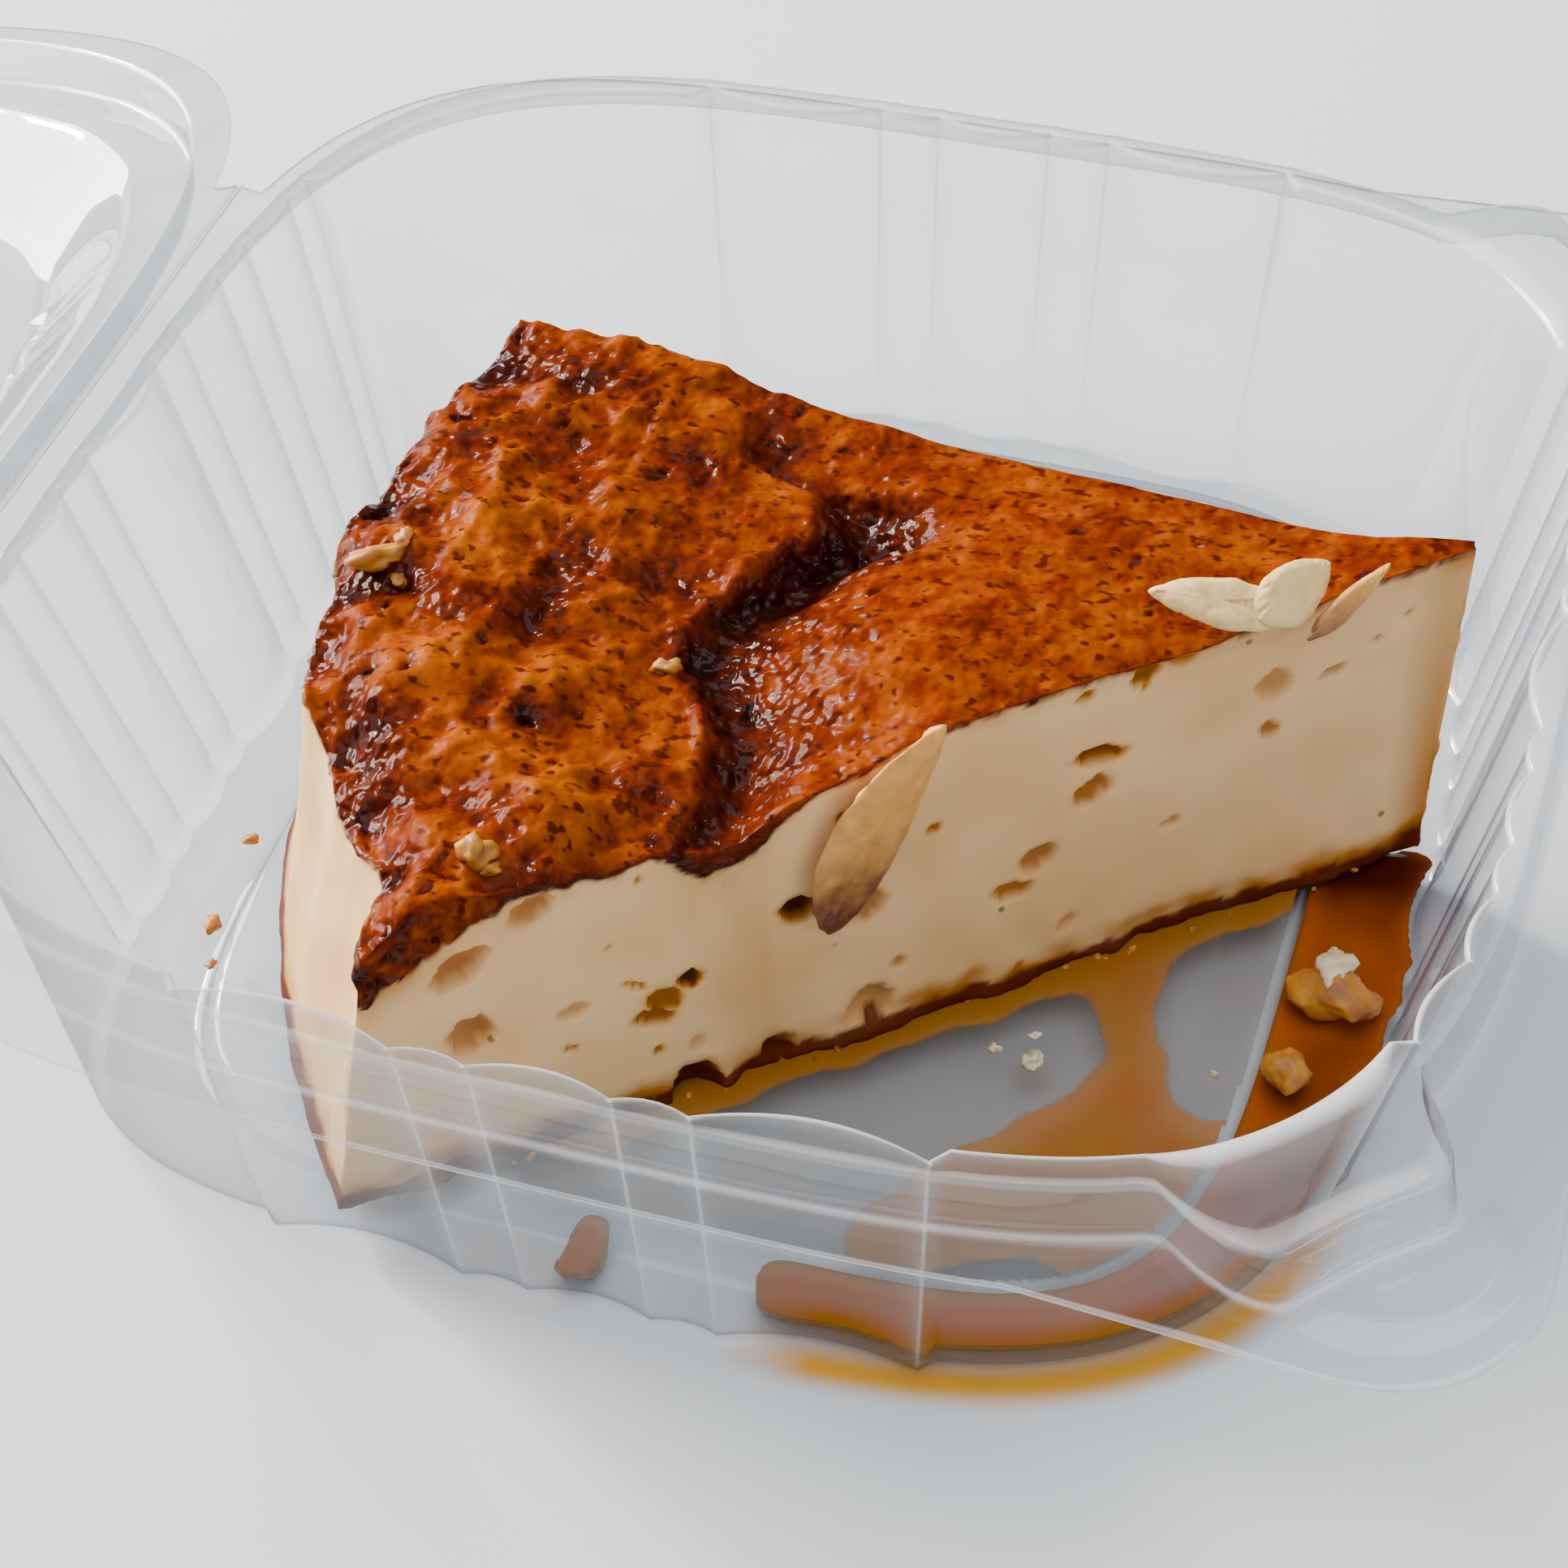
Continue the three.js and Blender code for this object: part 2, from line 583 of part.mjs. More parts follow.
// Caramel in the moat, between two directions of the tray
function caramelRun(fromAngle, toAngle, steps) {
  const points = [];
  const faces = [];
  for (let k = 0; k <= steps; k += 1) {
    const angle = (fromAngle + (toAngle - fromAngle) * k / steps) * DEG;
    const station = { angle, inset: scallopInset(angle) };
    points.push(
      lift(floorEdge(station, FLOOR_SLOPE + FIT_GAP), SHEET + FIT_GAP),
      lift(wallFoot(station, FOOT_FILLET + FIT_GAP + 0.1), SHEET + FIT_GAP),
      lift(wallFoot(station, 2 * FIT_GAP), CARAMEL_TOP_Z),
      lift(floorEdge(station, 0.3 + 2 * FIT_GAP), CARAMEL_TOP_Z),
    );
  }
  for (let k = 0; k < steps; k += 1) {
    for (let side = 0; side < 4; side += 1) {
      const a = k * 4 + side;
      const b = k * 4 + (side + 1) % 4;
      faces.push([a, a + 4, b + 4], [a, b + 4, b]);
    }
  }
  const end = steps * 4;
  faces.push([0, 1, 2], [0, 2, 3], [end, end + 2, end + 1], [end, end + 3, end + 2]);
  return toGeometry(points, faces);
}

// The wall's scallop in any direction, read between its stations
function scallopInset(angle) {
  const at = wrap(angle);
  const next = WALL.findIndex((station) => station.angle > at);
  const b = WALL[next < 0 ? 0 : next];
  const a = WALL[(next <= 0 ? WALL.length : next) - 1];
  const span = wrap(b.angle - a.angle) || 1;
  return a.inset + (b.inset - a.inset) * wrap(at - a.angle) / span;
}

// Almonds

// A pointed slice of almond, curled along its length and bowed to one side
function almondSlice(length, width, thickness, curl, bow) {
  const outline = 20;
  const points = [];
  const faces = [];
  const bend = (x) => curl * (x / length) ** 2 * 4;
  const loop = (scale, z) => {
    const start = points.length;
    for (let k = 0; k < outline; k += 1) {
      const turn = k * 2 * Math.PI / outline;
      const x = scale * length / 2 * Math.cos(turn);
      const taper = (1 - 0.3 * Math.cos(turn)) * Math.abs(Math.sin(turn)) ** 0.35;
      const y = scale * width / 2 * Math.sin(turn) * taper + bow * (1 - (2 * x / length) ** 2);
      points.push([x, y, z + bend(x)]);
    }
    return start;
  };
  const top = loop(0.72, thickness / 2);
  const edge = loop(1, 0);
  const foot = loop(0.72, -thickness / 2);
  points.push([0, bow, thickness / 2], [0, bow, -thickness / 2]);
  const topMiddle = points.length - 2;
  const footMiddle = points.length - 1;
  for (let k = 0; k < outline; k += 1) {
    const n = (k + 1) % outline;
    faces.push([topMiddle, top + k, top + n], [footMiddle, foot + n, foot + k]);
    faces.push([top + k, edge + k, edge + n], [top + k, edge + n, top + n]);
    faces.push([edge + k, foot + k, foot + n], [edge + k, foot + n, edge + n]);
  }
  return toGeometry(points, faces);
}

// Places a slice from `tail` to `point`, with its face turned to `face`
function laidFromTo(geometry, tail, point, face) {
  const alongX = new THREE.Vector3().subVectors(point, tail).normalize();
  const across = new THREE.Vector3().crossVectors(face, alongX).normalize();
  const up = new THREE.Vector3().crossVectors(alongX, across);
  const turn = new THREE.Matrix4().makeBasis(alongX, across, up);
  const middle = new THREE.Vector3().addVectors(tail, point).multiplyScalar(0.5);
  geometry.applyMatrix4(turn);
  geometry.translate(middle.x, middle.y, middle.z);
  return geometry;
}

function frontNormal() {
  const angle = FRONT_CUT_ANGLE * DEG;
  return new THREE.Vector3(-Math.sin(angle), Math.cos(angle), 0);
}

function hangingSlice() {
  const tail = onFrontCut(63.3, 19.6, 1.6);
  const point = onFrontCut(52.2, 41.2, 2.0);
  const slice = almondSlice(tail.distanceTo(point), 7.6, 1.5, 0.5, 1.2);
  return laidFromTo(slice, tail, point, frontNormal());
}

function leaningSlice(from, to, width) {
  const tail = onFrontCut(...from);
  const point = onFrontCut(...to);
  const face = frontNormal().add(new THREE.Vector3(0, 0, 1.3)).normalize();
  return laidFromTo(almondSlice(tail.distanceTo(point), width, 1.3, -0.3, 0), tail, point, face);
}

function slicePair() {
  const left = toSolid(leaningSlice([18.3, 39.9, 1.2], [28.6, 41.2, -5.6], 4.6));
  const right = toSolid(leaningSlice([21.0, 40.2, 1.0], [11.9, 41.0, -2.4], 5.2));
  return fromSolid(left.add(right));
}

function toastedSliver() {
  return leaningSlice([17.2, 38.0, 3.2], [7.4, 41.2, 0.3], 2.0);
}

function nutChip(seed, size, place) {
  const ball = new THREE.IcosahedronGeometry(1, 1).deleteAttribute('normal').deleteAttribute('uv');
  const chip = mergeVertices(ball, 1e-4);
  const position = chip.attributes.position;
  for (let k = 0; k < position.count; k += 1) {
    const grow = 1 + 0.22 * (2 * hash(seed, k) - 1);
    position.setXYZ(k, position.getX(k) * size[0] * grow, position.getY(k) * size[1] * grow,
      position.getZ(k) * size[2] * grow);
  }
  chip.rotateZ(seed);
  chip.computeBoundingBox();
  chip.translate(place[0], place[1], CARAMEL_TOP_Z + FIT_GAP - chip.boundingBox.min.z);
  return chip;
}

// Assembly

function named(name, geometry, finish) {
  const mesh = new THREE.Mesh(geometry, finish);
  mesh.name = name;
  return mesh;
}

const trayWithFlan = new THREE.Group();
trayWithFlan.add(
  named('box_tray', boxTray(), CLEAR_PLASTIC),
  named('flan_wedge', flanWedge(), CUSTARD),
  named('caramel_pool', caramelRun(POOL_FROM_ANGLE, POOL_TO_ANGLE, 40), CARAMEL),
  named('caramel_bead', caramelRun(BEAD_FROM_ANGLE, BEAD_TO_ANGLE, 3), CARAMEL),
  named('almond_slice_hanging', hangingSlice(), ALMOND),
  named('almond_slice_pair', slicePair(), ALMOND),
  named('almond_sliver_toasted', toastedSliver(), TOASTED_NUT),
  named('nut_chip_large', nutChip(3, [4.2, 2.9, 1.9], [55.6, -14.5]), TOASTED_NUT),
  named('nut_chip_small', nutChip(8, [2.6, 2.1, 1.6], [53.2, -24.6]), TOASTED_NUT),
);

const lidOnHinge = new THREE.Group();
lidOnHinge.position.set(HINGE_X, 0, HINGE_Z);
lidOnHinge.rotation.y = -(180 + LID_OPEN_TILT) * DEG;
lidOnHinge.add(named('box_lid', boxLid(), CLEAR_PLASTIC));

const part = new THREE.Group();
part.add(trayWithFlan, lidOnHinge);
part.updateMatrixWorld(true);
const reach = new THREE.Box3().setFromObject(part, true);
part.position.x = -(reach.min.x + reach.max.x) / 2;

export default part;
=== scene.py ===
"""A wedge of caramel flan in a clear hinged box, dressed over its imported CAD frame.

Shapes are worked out in millimetres in the tray's own frame: the tray's middle on the table is
the origin, +X points away from the hinge and -Y to the front. SHIFT then moves them to the frame.
"""

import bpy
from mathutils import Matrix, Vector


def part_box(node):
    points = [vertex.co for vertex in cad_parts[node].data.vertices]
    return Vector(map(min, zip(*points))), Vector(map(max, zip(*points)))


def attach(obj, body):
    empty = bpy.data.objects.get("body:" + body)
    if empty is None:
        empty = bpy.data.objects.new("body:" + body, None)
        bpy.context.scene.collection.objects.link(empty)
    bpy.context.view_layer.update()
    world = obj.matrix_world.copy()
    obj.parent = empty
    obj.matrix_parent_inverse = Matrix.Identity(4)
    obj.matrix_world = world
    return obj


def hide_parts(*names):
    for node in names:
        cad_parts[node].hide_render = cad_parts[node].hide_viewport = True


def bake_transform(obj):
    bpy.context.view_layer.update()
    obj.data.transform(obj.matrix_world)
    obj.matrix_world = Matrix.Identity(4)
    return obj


bl_info = {
    "name": "Caramel flan in a clear box",
    "version": (1, 0, 0),
    "blender": (4, 5, 0),
    "location": "3D View > Sidebar > Flan",
    "description": "Builds a wedge of caramel flan in a clear hinged box",
    "category": "Object",
}

import math
import random

import bmesh
import bpy
from bpy.props import FloatProperty, FloatVectorProperty, PointerProperty
from bpy.types import Operator, Panel, PropertyGroup
from mathutils import Euler, Matrix, Vector, noise

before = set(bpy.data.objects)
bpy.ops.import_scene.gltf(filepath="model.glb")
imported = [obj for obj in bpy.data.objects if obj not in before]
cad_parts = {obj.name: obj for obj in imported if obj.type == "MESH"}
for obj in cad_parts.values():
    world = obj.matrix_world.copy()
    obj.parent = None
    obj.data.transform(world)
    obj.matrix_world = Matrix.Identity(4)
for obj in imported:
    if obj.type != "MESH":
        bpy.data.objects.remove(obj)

# noise_vector draws its offsets from a seed of its own
noise.seed_set(5)

MM = 0.001
TAU = 2 * math.pi
DIAGONAL = 0.7071

# Clear sheet: the middle of its thickness, as the CAD tray and lid have it
SHEET = 0.7
FIT_GAP = 0.3
RIM_HALF = 76
RIM_SQUARENESS = 4.2
RIM_Z = 32.4
HINGE_X = -77.2
HINGE_HALF = 44
HINGE_Z = RIM_Z + FIT_GAP / 2
CREST_Z = 37.0
CREST_INNER_HALF = 68.9
CREST_OUTER_HALF = 71.2
CREST_FOOT_HALF = 71.9
CREST_SQUARENESS = 3.8
WALL_FOOT_Z = 3.0
WALL_FOOT_HALF = (60, 62, 64.5)
WALL_FOOT_SQUARENESS = (5, 3.5)
FOOT_FILLET = 1.6
FLOOR_Z = 3.6
FLOOR_HALF = (48, 50, 56)
FLOOR_SQUARENESS = 5
RIBS_FRONT_AND_BACK = (6, 12.4, 31.6)
RIBS_LEFT = (7.5, 13, 22, 28, 37, 41)
RIBS_RIGHT = (7.5, 13, 22, 28, 36.5, 48)
SCALLOP_PER_WIDTH = 0.13
SCALLOP_FOOT_SHARE = 0.75
CORNER_STEP = 1.6
TAB_CENTRE = (66.3, 63.4)
TAB_RADIUS = 13
TAB_BLEND = 5
KNOB_ANGLE = 45
KNOB_HALF_ANGLE = 8.4
KNOB_REACH = 9.2
KNOB_DIP = 1.8
LID_CHANNEL_Z = CREST_Z + 0.6
LID_STEP_FOOT_HALF = 72.5
LID_STEP_TOP_HALF = 72.1
LID_SLOPE_FOOT_HALF = 66
LID_PANEL_HALF = 56
LID_PANEL_Z = RIM_Z + 12.3
LID_OPEN_TILT = 8.3
STRIP_WIDTH = 1.2
STRIP_DROP = 0.38
TAB_MARK_AT = (69.6, 65.6)
TAB_MARK_HALF = (9.5, 6.5)
TAB_MARK_DISH_HALF = (6.6, 4.2)
TAB_MARK_RISE = 0.9
TAB_MARK_DISH_DEPTH = 0.55

# Flan, as the CAD solid has it
TIP = (59.1, 10.1)
BACK_CUT_ANGLE = 172.6
FRONT_CUT_ANGLE = 220.8
TOP_RADIUS = 104
FOOT_RADIUS = 110.5
WEDGE_FOOT_Z = FLOOR_Z + FIT_GAP
TIP_RADIUS = 1.2
TIP_LEAN_TOP = (2.2, 2.6)
TIP_LEAN_FOOT = (1.2, -1.2)
TIP_LEAN_SHARE = 0.07
FOOT_SPREAD = 1.7
FRONT_EDGE = (
    (0, 39), (25, 38.1), (51, 37.8), (63, 35.4), (71, 32.8), (80, 34.4), (90, 36.2), (98, 35.6),
    (104, 32.4),
)
BACK_EDGE = ((0, 39), (20, 37.6), (45, 36.4), (63, 36.2), (80, 38), (90, 38.4), (104, 37.2))
ROUND_EDGE = (
    (0, 96.4), (0.19, 97.8), (0.29, 100), (0.4, 102.2), (0.62, 103.8), (0.76, 102.2), (0.9, 100.4),
    (1, 104.4),
)
TROUGH = (
    (0, 74, 0.4), (0.16, 69, 1.8), (0.24, 58, 3.4), (0.33, 56, 4.4), (0.44, 60.5, 3.8), (0.54, 65, 2.8),
    (0.66, 66.5, 2.2), (0.8, 66, 1.8), (0.9, 70.5, 1.6), (1, 73, 0.8),
)
TROUGH_HALF_WIDTH = {"inward": 5.5, "outward": 3.2}
HUMPS = ((46, 13, 0.76, 0.2, 1.6), (33, 11, 0.3, 0.22, 0.9))
ROUGH_FROM = 66
ROUGH_OVER = 16
ROUGH_LUMPS = ((4.6, 1.1), (8.5, 0.9))
SMOOTH_LUMPS = (7, 0.45)
BURNT_LEAST = 0.25
# Open bubbles of the skin: (spacing, depth, how many of the places have one)
SKIN_PITS = ((5.2, 1.2, 0.07), (2.7, 0.55, 0.26))
# The torn lip of the thick skin, past the trough's line: (offset, half width)
TORN_LIP = (4.6, 1.3)
TORN_CLIFF = (2.2, 1.5)
TORN_WANDER = 1.6

# Hollows that the front cut opened, as (distance from the tip, height, half length, half height,
# rise towards the tip in degrees, how much caramel they hold, depth)
BUBBLES = (
    (96.5, 28.0, 2.7, 1.7, 30, 0.22, 2.8), (96.1, 19.5, 2.2, 2.0, 24, 0.25, 2.6),
    (89.6, 32.2, 2.1, 1.4, 18, 0.22, 2.2),
    (86.8, 18.2, 1.4, 0.9, 8, 0.08, 1.2), (75.8, 17.4, 1.2, 1.1, 0, 1.5, 2.2),
    (78.3, 15.9, 1.7, 1.5, -20, 1.1, 1.0),
    (79.4, 13.9, 2.0, 0.9, -20, 1.0, 1.4), (81.0, 18.9, 1.3, 0.35, -30, 0.7, 0.7),
    (65.3, 21.8, 1.9, 1.5, -10, 1.5, 2.6),
    (58.8, 19.2, 2.1, 1.6, 12, 0.35, 2.2), (58.9, 7.3, 2.1, 1.8, -5, 0.18, 2.2),
    (87.4, 13.7, 0.7, 0.35, -30, 0.8, 0.5),
    (97.7, 32.4, 0.8, 0.7, 0, 0.9, 0.8), (79.3, 10.0, 0.5, 0.5, 0, 0.9, 0.4),
    (79.8, 31.9, 0.3, 0.35, 0, 0.8, 0.3),
    (83.1, 24.8, 0.35, 0.3, 0, 0.7, 0.3), (68.0, 5.4, 1.8, 1.4, -5, 0.6, 1.6),
    (76.2, 4.8, 2.4, 2.2, 0, 1.5, 2.4),
    (75.7, 9.3, 0.9, 0.8, 0, 0.12, 0.4), (18.3, 30.4, 1.7, 1.6, 0, 0.12, 1.8),
    (18.2, 24.8, 1.0, 1.0, 0, 0.6, 1.0),
    (12.2, 29.6, 1.4, 0.45, 14, 0.5, 0.8), (35.7, 28.5, 2.5, 0.9, -6, 1.1, 2.0),
    (36.3, 24.4, 2.0, 1.4, 28, 0.55, 2.0),
    (41.6, 17.9, 1.9, 1.4, 20, 0.45, 2.0), (44.2, 14.9, 1.9, 1.0, -6, 0.6, 1.5),
    (27.9, 17.1, 1.1, 0.45, 14, 0.4, 0.6),
    (52.1, 26.2, 0.7, 0.65, 0, 0.9, 0.7), (31.6, 36.9, 1.5, 1.0, 22, 1.1, 1.1),
    (37.4, 36.4, 1.0, 0.55, 20, 0.9, 0.7),
    (27.7, 37.2, 1.1, 0.8, 0, 0.8, 0.8), (38.7, 8.7, 1.0, 0.8, 0, 0.15, 0.6),
    (43.7, 5.6, 0.55, 0.45, 0, 0.8, 0.5),
    (31.5, 35.4, 0.5, 0.4, 0, 0.8, 0.4), (55.7, 11.1, 0.7, 0.6, 0, 0.5, 0.6),
    (4.7, 34.0, 0.35, 0.3, 0, 0.8, 0.3),
    (7.7, 32.0, 0.6, 0.35, 10, 0.7, 0.4), (60.9, 31.4, 0.6, 0.5, 0, 0.7, 0.4),
)

# Crumbs and chips of nut, as (x, y, radius), and in the pool as (x, y, z, radius)
CRUMBS_ON_TOP = (
    (-35.9, -15.3, 2.0), (-34.3, -12.6, 0.9), (-13.7, -47.1, 1.6),
    (-12.2, -48.0, 0.8), (-6.6, -18.5, 1.2), (-33.2, -16.6, 0.7),
)
CRUMBS_BY_WALL = ((-47.2, -38.9), (-50.4, -22.6), (-49.2, -34.2))
CRUMBS_AT_CUT = 26
CHIPS_ON_FLOOR = ((30.4, -28.6, 1.0), (26.7, -28.2, 0.5), (29.9, -25.7, 0.4), (46.7, -25.6, 0.4))
CHIPS_IN_POOL = [(55.2, -12.9, 6.9, 1.7), (54.6, -7.8, 3.2, 0.8)]

# The camera that the photograph was taken with, in the tray's frame
CAMERA_AT = (75.186, -223.847, 236.288)
CAMERA_TURN_DEG = (45.441, 1.587, 17.577)
CAMERA_LENS_MM = 76.454

TAB_REACH = TAB_CENTRE[0] + TAB_RADIUS
SHIFT = Vector((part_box("box_tray")[1].x / MM - TAB_REACH, 0, 0))


# Plain functions that the pieces share


def hashed(i, j):
    wave = math.sin(i * 127.1 + j * 311.7) * 43758.5453
    return wave - math.floor(wave)


def value_noise(x, y):
    i, j = math.floor(x), math.floor(y)
    fx, fy = x - i, y - j
    sx, sy = fx * fx * (3 - 2 * fx), fy * fy * (3 - 2 * fy)
    low = hashed(i, j) * (1 - sx) + hashed(i + 1, j) * sx
    high = hashed(i, j + 1) * (1 - sx) + hashed(i + 1, j + 1) * sx
    return (low * (1 - sy) + high * sy) * 2 - 1


def eased(table, at, column=1):
    """Reads a column of a table at `at` in its first column, eased between the rows."""
    if at <= table[0][0]:
        return table[0][column]
    for before, after in zip(table, table[1:]):
        if at <= after[0]:
            share = (at - before[0]) / (after[0] - before[0])
            share = share * share * (3 - 2 * share)
            return before[column] * (1 - share) + after[column] * share
    return table[-1][column]


def step(low, high, value):
    share = min(1.0, max(0.0, (value - low) / (high - low)))
    return share * share * (3 - 2 * share)


def bell(value, middle, half_width):
    return math.exp(-(((value - middle) / half_width) ** 2))


def srgb(text):
    """'#RRGGBB' as the linear colour that Blender's sockets take."""
    channels = [int(text[k : k + 2], 16) / 255 for k in (1, 3, 5)]
    return tuple(c / 12.92 if c <= 0.04045 else ((c + 0.055) / 1.055) ** 2.4 for c in channels) + (1.0,)


def node(tree, kind, inputs=None, **settings):
    """Adds one shader node with its settings, values and links."""
    made = tree.nodes.new(kind)
    for key, value in settings.items():
        setattr(made, key, value)
    for key, value in (inputs or {}).items():
        if isinstance(value, bpy.types.NodeSocket):
            tree.links.new(value, made.inputs[key])
        else:
            made.inputs[key].default_value = value
    return made


def new_material(name):
    material = bpy.data.materials.new(name)
    material.use_nodes = True
    material.node_tree.nodes.clear()
    return material, material.node_tree


def grid(columns, rows):
    """A flat grid whose vertices run from 0 to 1 both ways, at height 1."""
    bm = bmesh.new()
    bmesh.ops.create_grid(bm, x_segments=columns, y_segments=rows, size=1)
    for v in bm.verts:
        v.co = ((v.co.x + 1) / 2, (v.co.y + 1) / 2, 1)
    return bm


def close_below(bm, levels):
    """Draws the grid's border down through the levels and closes it underneath."""
    border = [e for e in bm.edges if e.is_boundary]
    for level in levels:
        made = bmesh.ops.extrude_edge_only(bm, edges=border)["geom"]
        fresh = {g for g in made if isinstance(g, bmesh.types.BMVert)}
        for v in fresh:
            v.co.z = level
        border = [g for g in made if isinstance(g, bmesh.types.BMEdge) and all(v in fresh for v in g.verts)]
    bmesh.ops.holes_fill(bm, edges=border, sides=0)


def finished(name, bm, body, material, weld=1e-6):
    """Makes the piece's object from a mesh in millimetres in the tray's frame."""
    if weld:
        bmesh.ops.remove_doubles(bm, verts=bm.verts, dist=weld)
    for v in bm.verts:
        v.co = (v.co + SHIFT) * MM
    bmesh.ops.recalc_face_normals(bm, faces=bm.faces)
    mesh = bpy.data.meshes.new(name)
    bm.to_mesh(mesh)
    bm.free()
    mesh.polygons.foreach_set("use_smooth", [True] * len(mesh.polygons))
    mesh.materials.append(material)
    obj = bpy.data.objects.new(name, mesh)
    bpy.context.scene.collection.objects.link(obj)
    if body:
        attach(obj, body)
    return obj


# Box: planform functions


def rounded_square(angle, half, squareness, inset=0.0):
    c, s = math.cos(angle), math.sin(angle)
    if isinstance(half, (int, float)):
        half_x = half_y = half
    else:
        half_x, half_y = half[0 if c < 0 else 1], half[2]
    power = squareness if isinstance(squareness, (int, float)) else squareness[0 if c < 0 else 1]
    radius = (abs(c / half_x) ** power + abs(s / half_y) ** power) ** (-1 / power)
    x, y = radius * c, radius * s
    nx = math.copysign(abs(x / half_x) ** (power - 1) / half_x, c)
    ny = math.copysign(abs(y / half_y) ** (power - 1) / half_y, s)
    length = math.hypot(nx, ny)
    return x - inset * nx / length, y - inset * ny / length


def wall_stations(per_mm=0.8, corner=34):
    """Directions round the wall, each with how far the scallop stands in from the ribs."""
    sides = ((0, RIBS_RIGHT), (90, RIBS_FRONT_AND_BACK), (180, RIBS_LEFT), (270, RIBS_FRONT_AND_BACK))

    def turned(turn, offset):
        return math.radians(turn) + math.atan2(offset, CREST_INNER_HALF * 0.985)

    stations = []
    for index, (turn, ribs) in enumerate(sides):
        places = [-rib for rib in reversed(ribs)] + list(ribs)
        for start, end in zip(places, places[1:]):
            width = end - start
            count = max(5, round(width * per_mm))
            shares = [0, 0.28 / width] + [k / count for k in range(1, count)] + [1 - 0.28 / width]
            for share in shares:
                bow = SCALLOP_PER_WIDTH * width * 4 * share * (1 - share)
                stations.append((turned(turn, start + share * width) % TAU, bow))
        for beyond in (0, 0.28):
            stations.append((turned(turn, ribs[-1] + beyond) % TAU, beyond))
        next_ribs = sides[(index + 1) % 4][1]
        start = turned(turn, ribs[-1] + CORNER_STEP)
        end = turned(turn + 90, -next_ribs[-1] - CORNER_STEP)
        for k in range(corner + 1):
            stations.append(((start + (end - start) * k / corner) % TAU, CORNER_STEP))
    return sorted(stations)


def knob(angle):
    fold = math.degrees(abs(math.atan2(math.sin(angle), math.cos(angle))))
    off = abs(fold - KNOB_ANGLE) / KNOB_HALF_ANGLE
    if off >= 1:
        return 0.0
    return KNOB_REACH * (1 - off**5) - KNOB_DIP * max(0.0, 1 - 3 * off * off)


def crest(angle, half):
    x, y = rounded_square(angle, half, CREST_SQUARENESS)
    radius = math.hypot(x, y)
    return x * (radius + knob(angle)) / radius, y * (radius + knob(angle)) / radius


def tab_outline():
    points = []
    for turn in range(0, 360, 3):
        angle = math.radians(turn)
        points.append(rounded_square(angle, RIM_HALF - TAB_BLEND, RIM_SQUARENESS))
        for sign in (-1, 1):
            x = TAB_CENTRE[0] + TAB_RADIUS * math.cos(angle)
            points.append((x, sign * TAB_CENTRE[1] + TAB_RADIUS * math.sin(angle)))
    points.sort()

    def half(ordered):
        kept = []
        for p in ordered:
            while len(kept) > 1 and cross(kept[-2], kept[-1], p) <= 1e-9:
                kept.pop()
            kept.append(p)
        return kept[:-1]

    def cross(o, p, q):
        return (p[0] - o[0]) * (q[1] - o[1]) - (p[1] - o[1]) * (q[0] - o[0])

    return half(points) + half(points[::-1])


TAB_OUTLINE = tab_outline()


def rim_edge(angle):
    c, s = math.cos(angle), math.sin(angle)
    hinge_edge = HINGE_X + FIT_GAP
    if c < 0 and abs(hinge_edge * s / c) <= HINGE_HALF + 0.01:
        return hinge_edge, hinge_edge * s / c
    reach = math.hypot(*rounded_square(angle, RIM_HALF, RIM_SQUARENESS))
    for (ax, ay), (bx, by) in zip(TAB_OUTLINE, TAB_OUTLINE[1:] + TAB_OUTLINE[:1]):
        across = c * (by - ay) - s * (bx - ax)
        share = (s * ax - c * ay) / across if across else -1
        if 0 <= share <= 1:
            reach = max(reach, (ax + share * (bx - ax)) * c + (ay + share * (by - ay)) * s)
    return reach * c, reach * s


def between(a, b, share):
    return a[0] + (b[0] - a[0]) * share, a[1] + (b[1] - a[1]) * share


def wall_foot(station, extra=0.0):
    inset = station[1] * SCALLOP_FOOT_SHARE + extra
    return rounded_square(station[0], WALL_FOOT_HALF, WALL_FOOT_SQUARENESS, inset)


def wall_top(station, extra=0.0):
    return rounded_square(station[0], CREST_INNER_HALF, CREST_SQUARENESS, station[1] + extra)


def floor_edge(station, spread=0.0):
    return rounded_square(station[0], FLOOR_HALF, FLOOR_SQUARENESS, -spread)


def tab_mark(x, y):
    """Height of the half-moon that is pressed into each tab."""
    u, v = x - TAB_MARK_AT[0], abs(y) - TAB_MARK_AT[1]
    along, across = (u - v) * DIAGONAL, (u + v) * DIAGONAL
    arc = 1 - math.hypot(along / TAB_MARK_HALF[0], (across + 1.5) / TAB_MARK_HALF[1])
    inner = 1 - math.hypot(along / TAB_MARK_DISH_HALF[0], (across + 1.0) / TAB_MARK_DISH_HALF[1])
    raised = step(0, 0.16, arc) * step(-3.2, -2.4, across)
    sunk = step(0, 0.2, inner) * step(-1.9, -1.2, across)
    return TAB_MARK_RISE * raised - TAB_MARK_DISH_DEPTH * sunk


def flange_rows(station, rim_z, toward, up):
    """The rim from the crest's foot out to its cut edge."""
    inner = crest(station[0], toward)
    outer = rim_edge(station[0])
    rows = []
    for k in range(1, 13):
        x, y = between(inner, outer, k / 12)
        fade = step(0, 0.15, k / 12) * step(1, 0.93, k / 12)
        # The cut edge is whitened as a painted highlight
        rows.append((x, y, rim_z + fade * tab_mark(x, y), 0.5 if k == 12 else 0.0))
    x, y = outer
    rows.append((x, y, rim_z - up * 0.35, 1.0))
    return rows


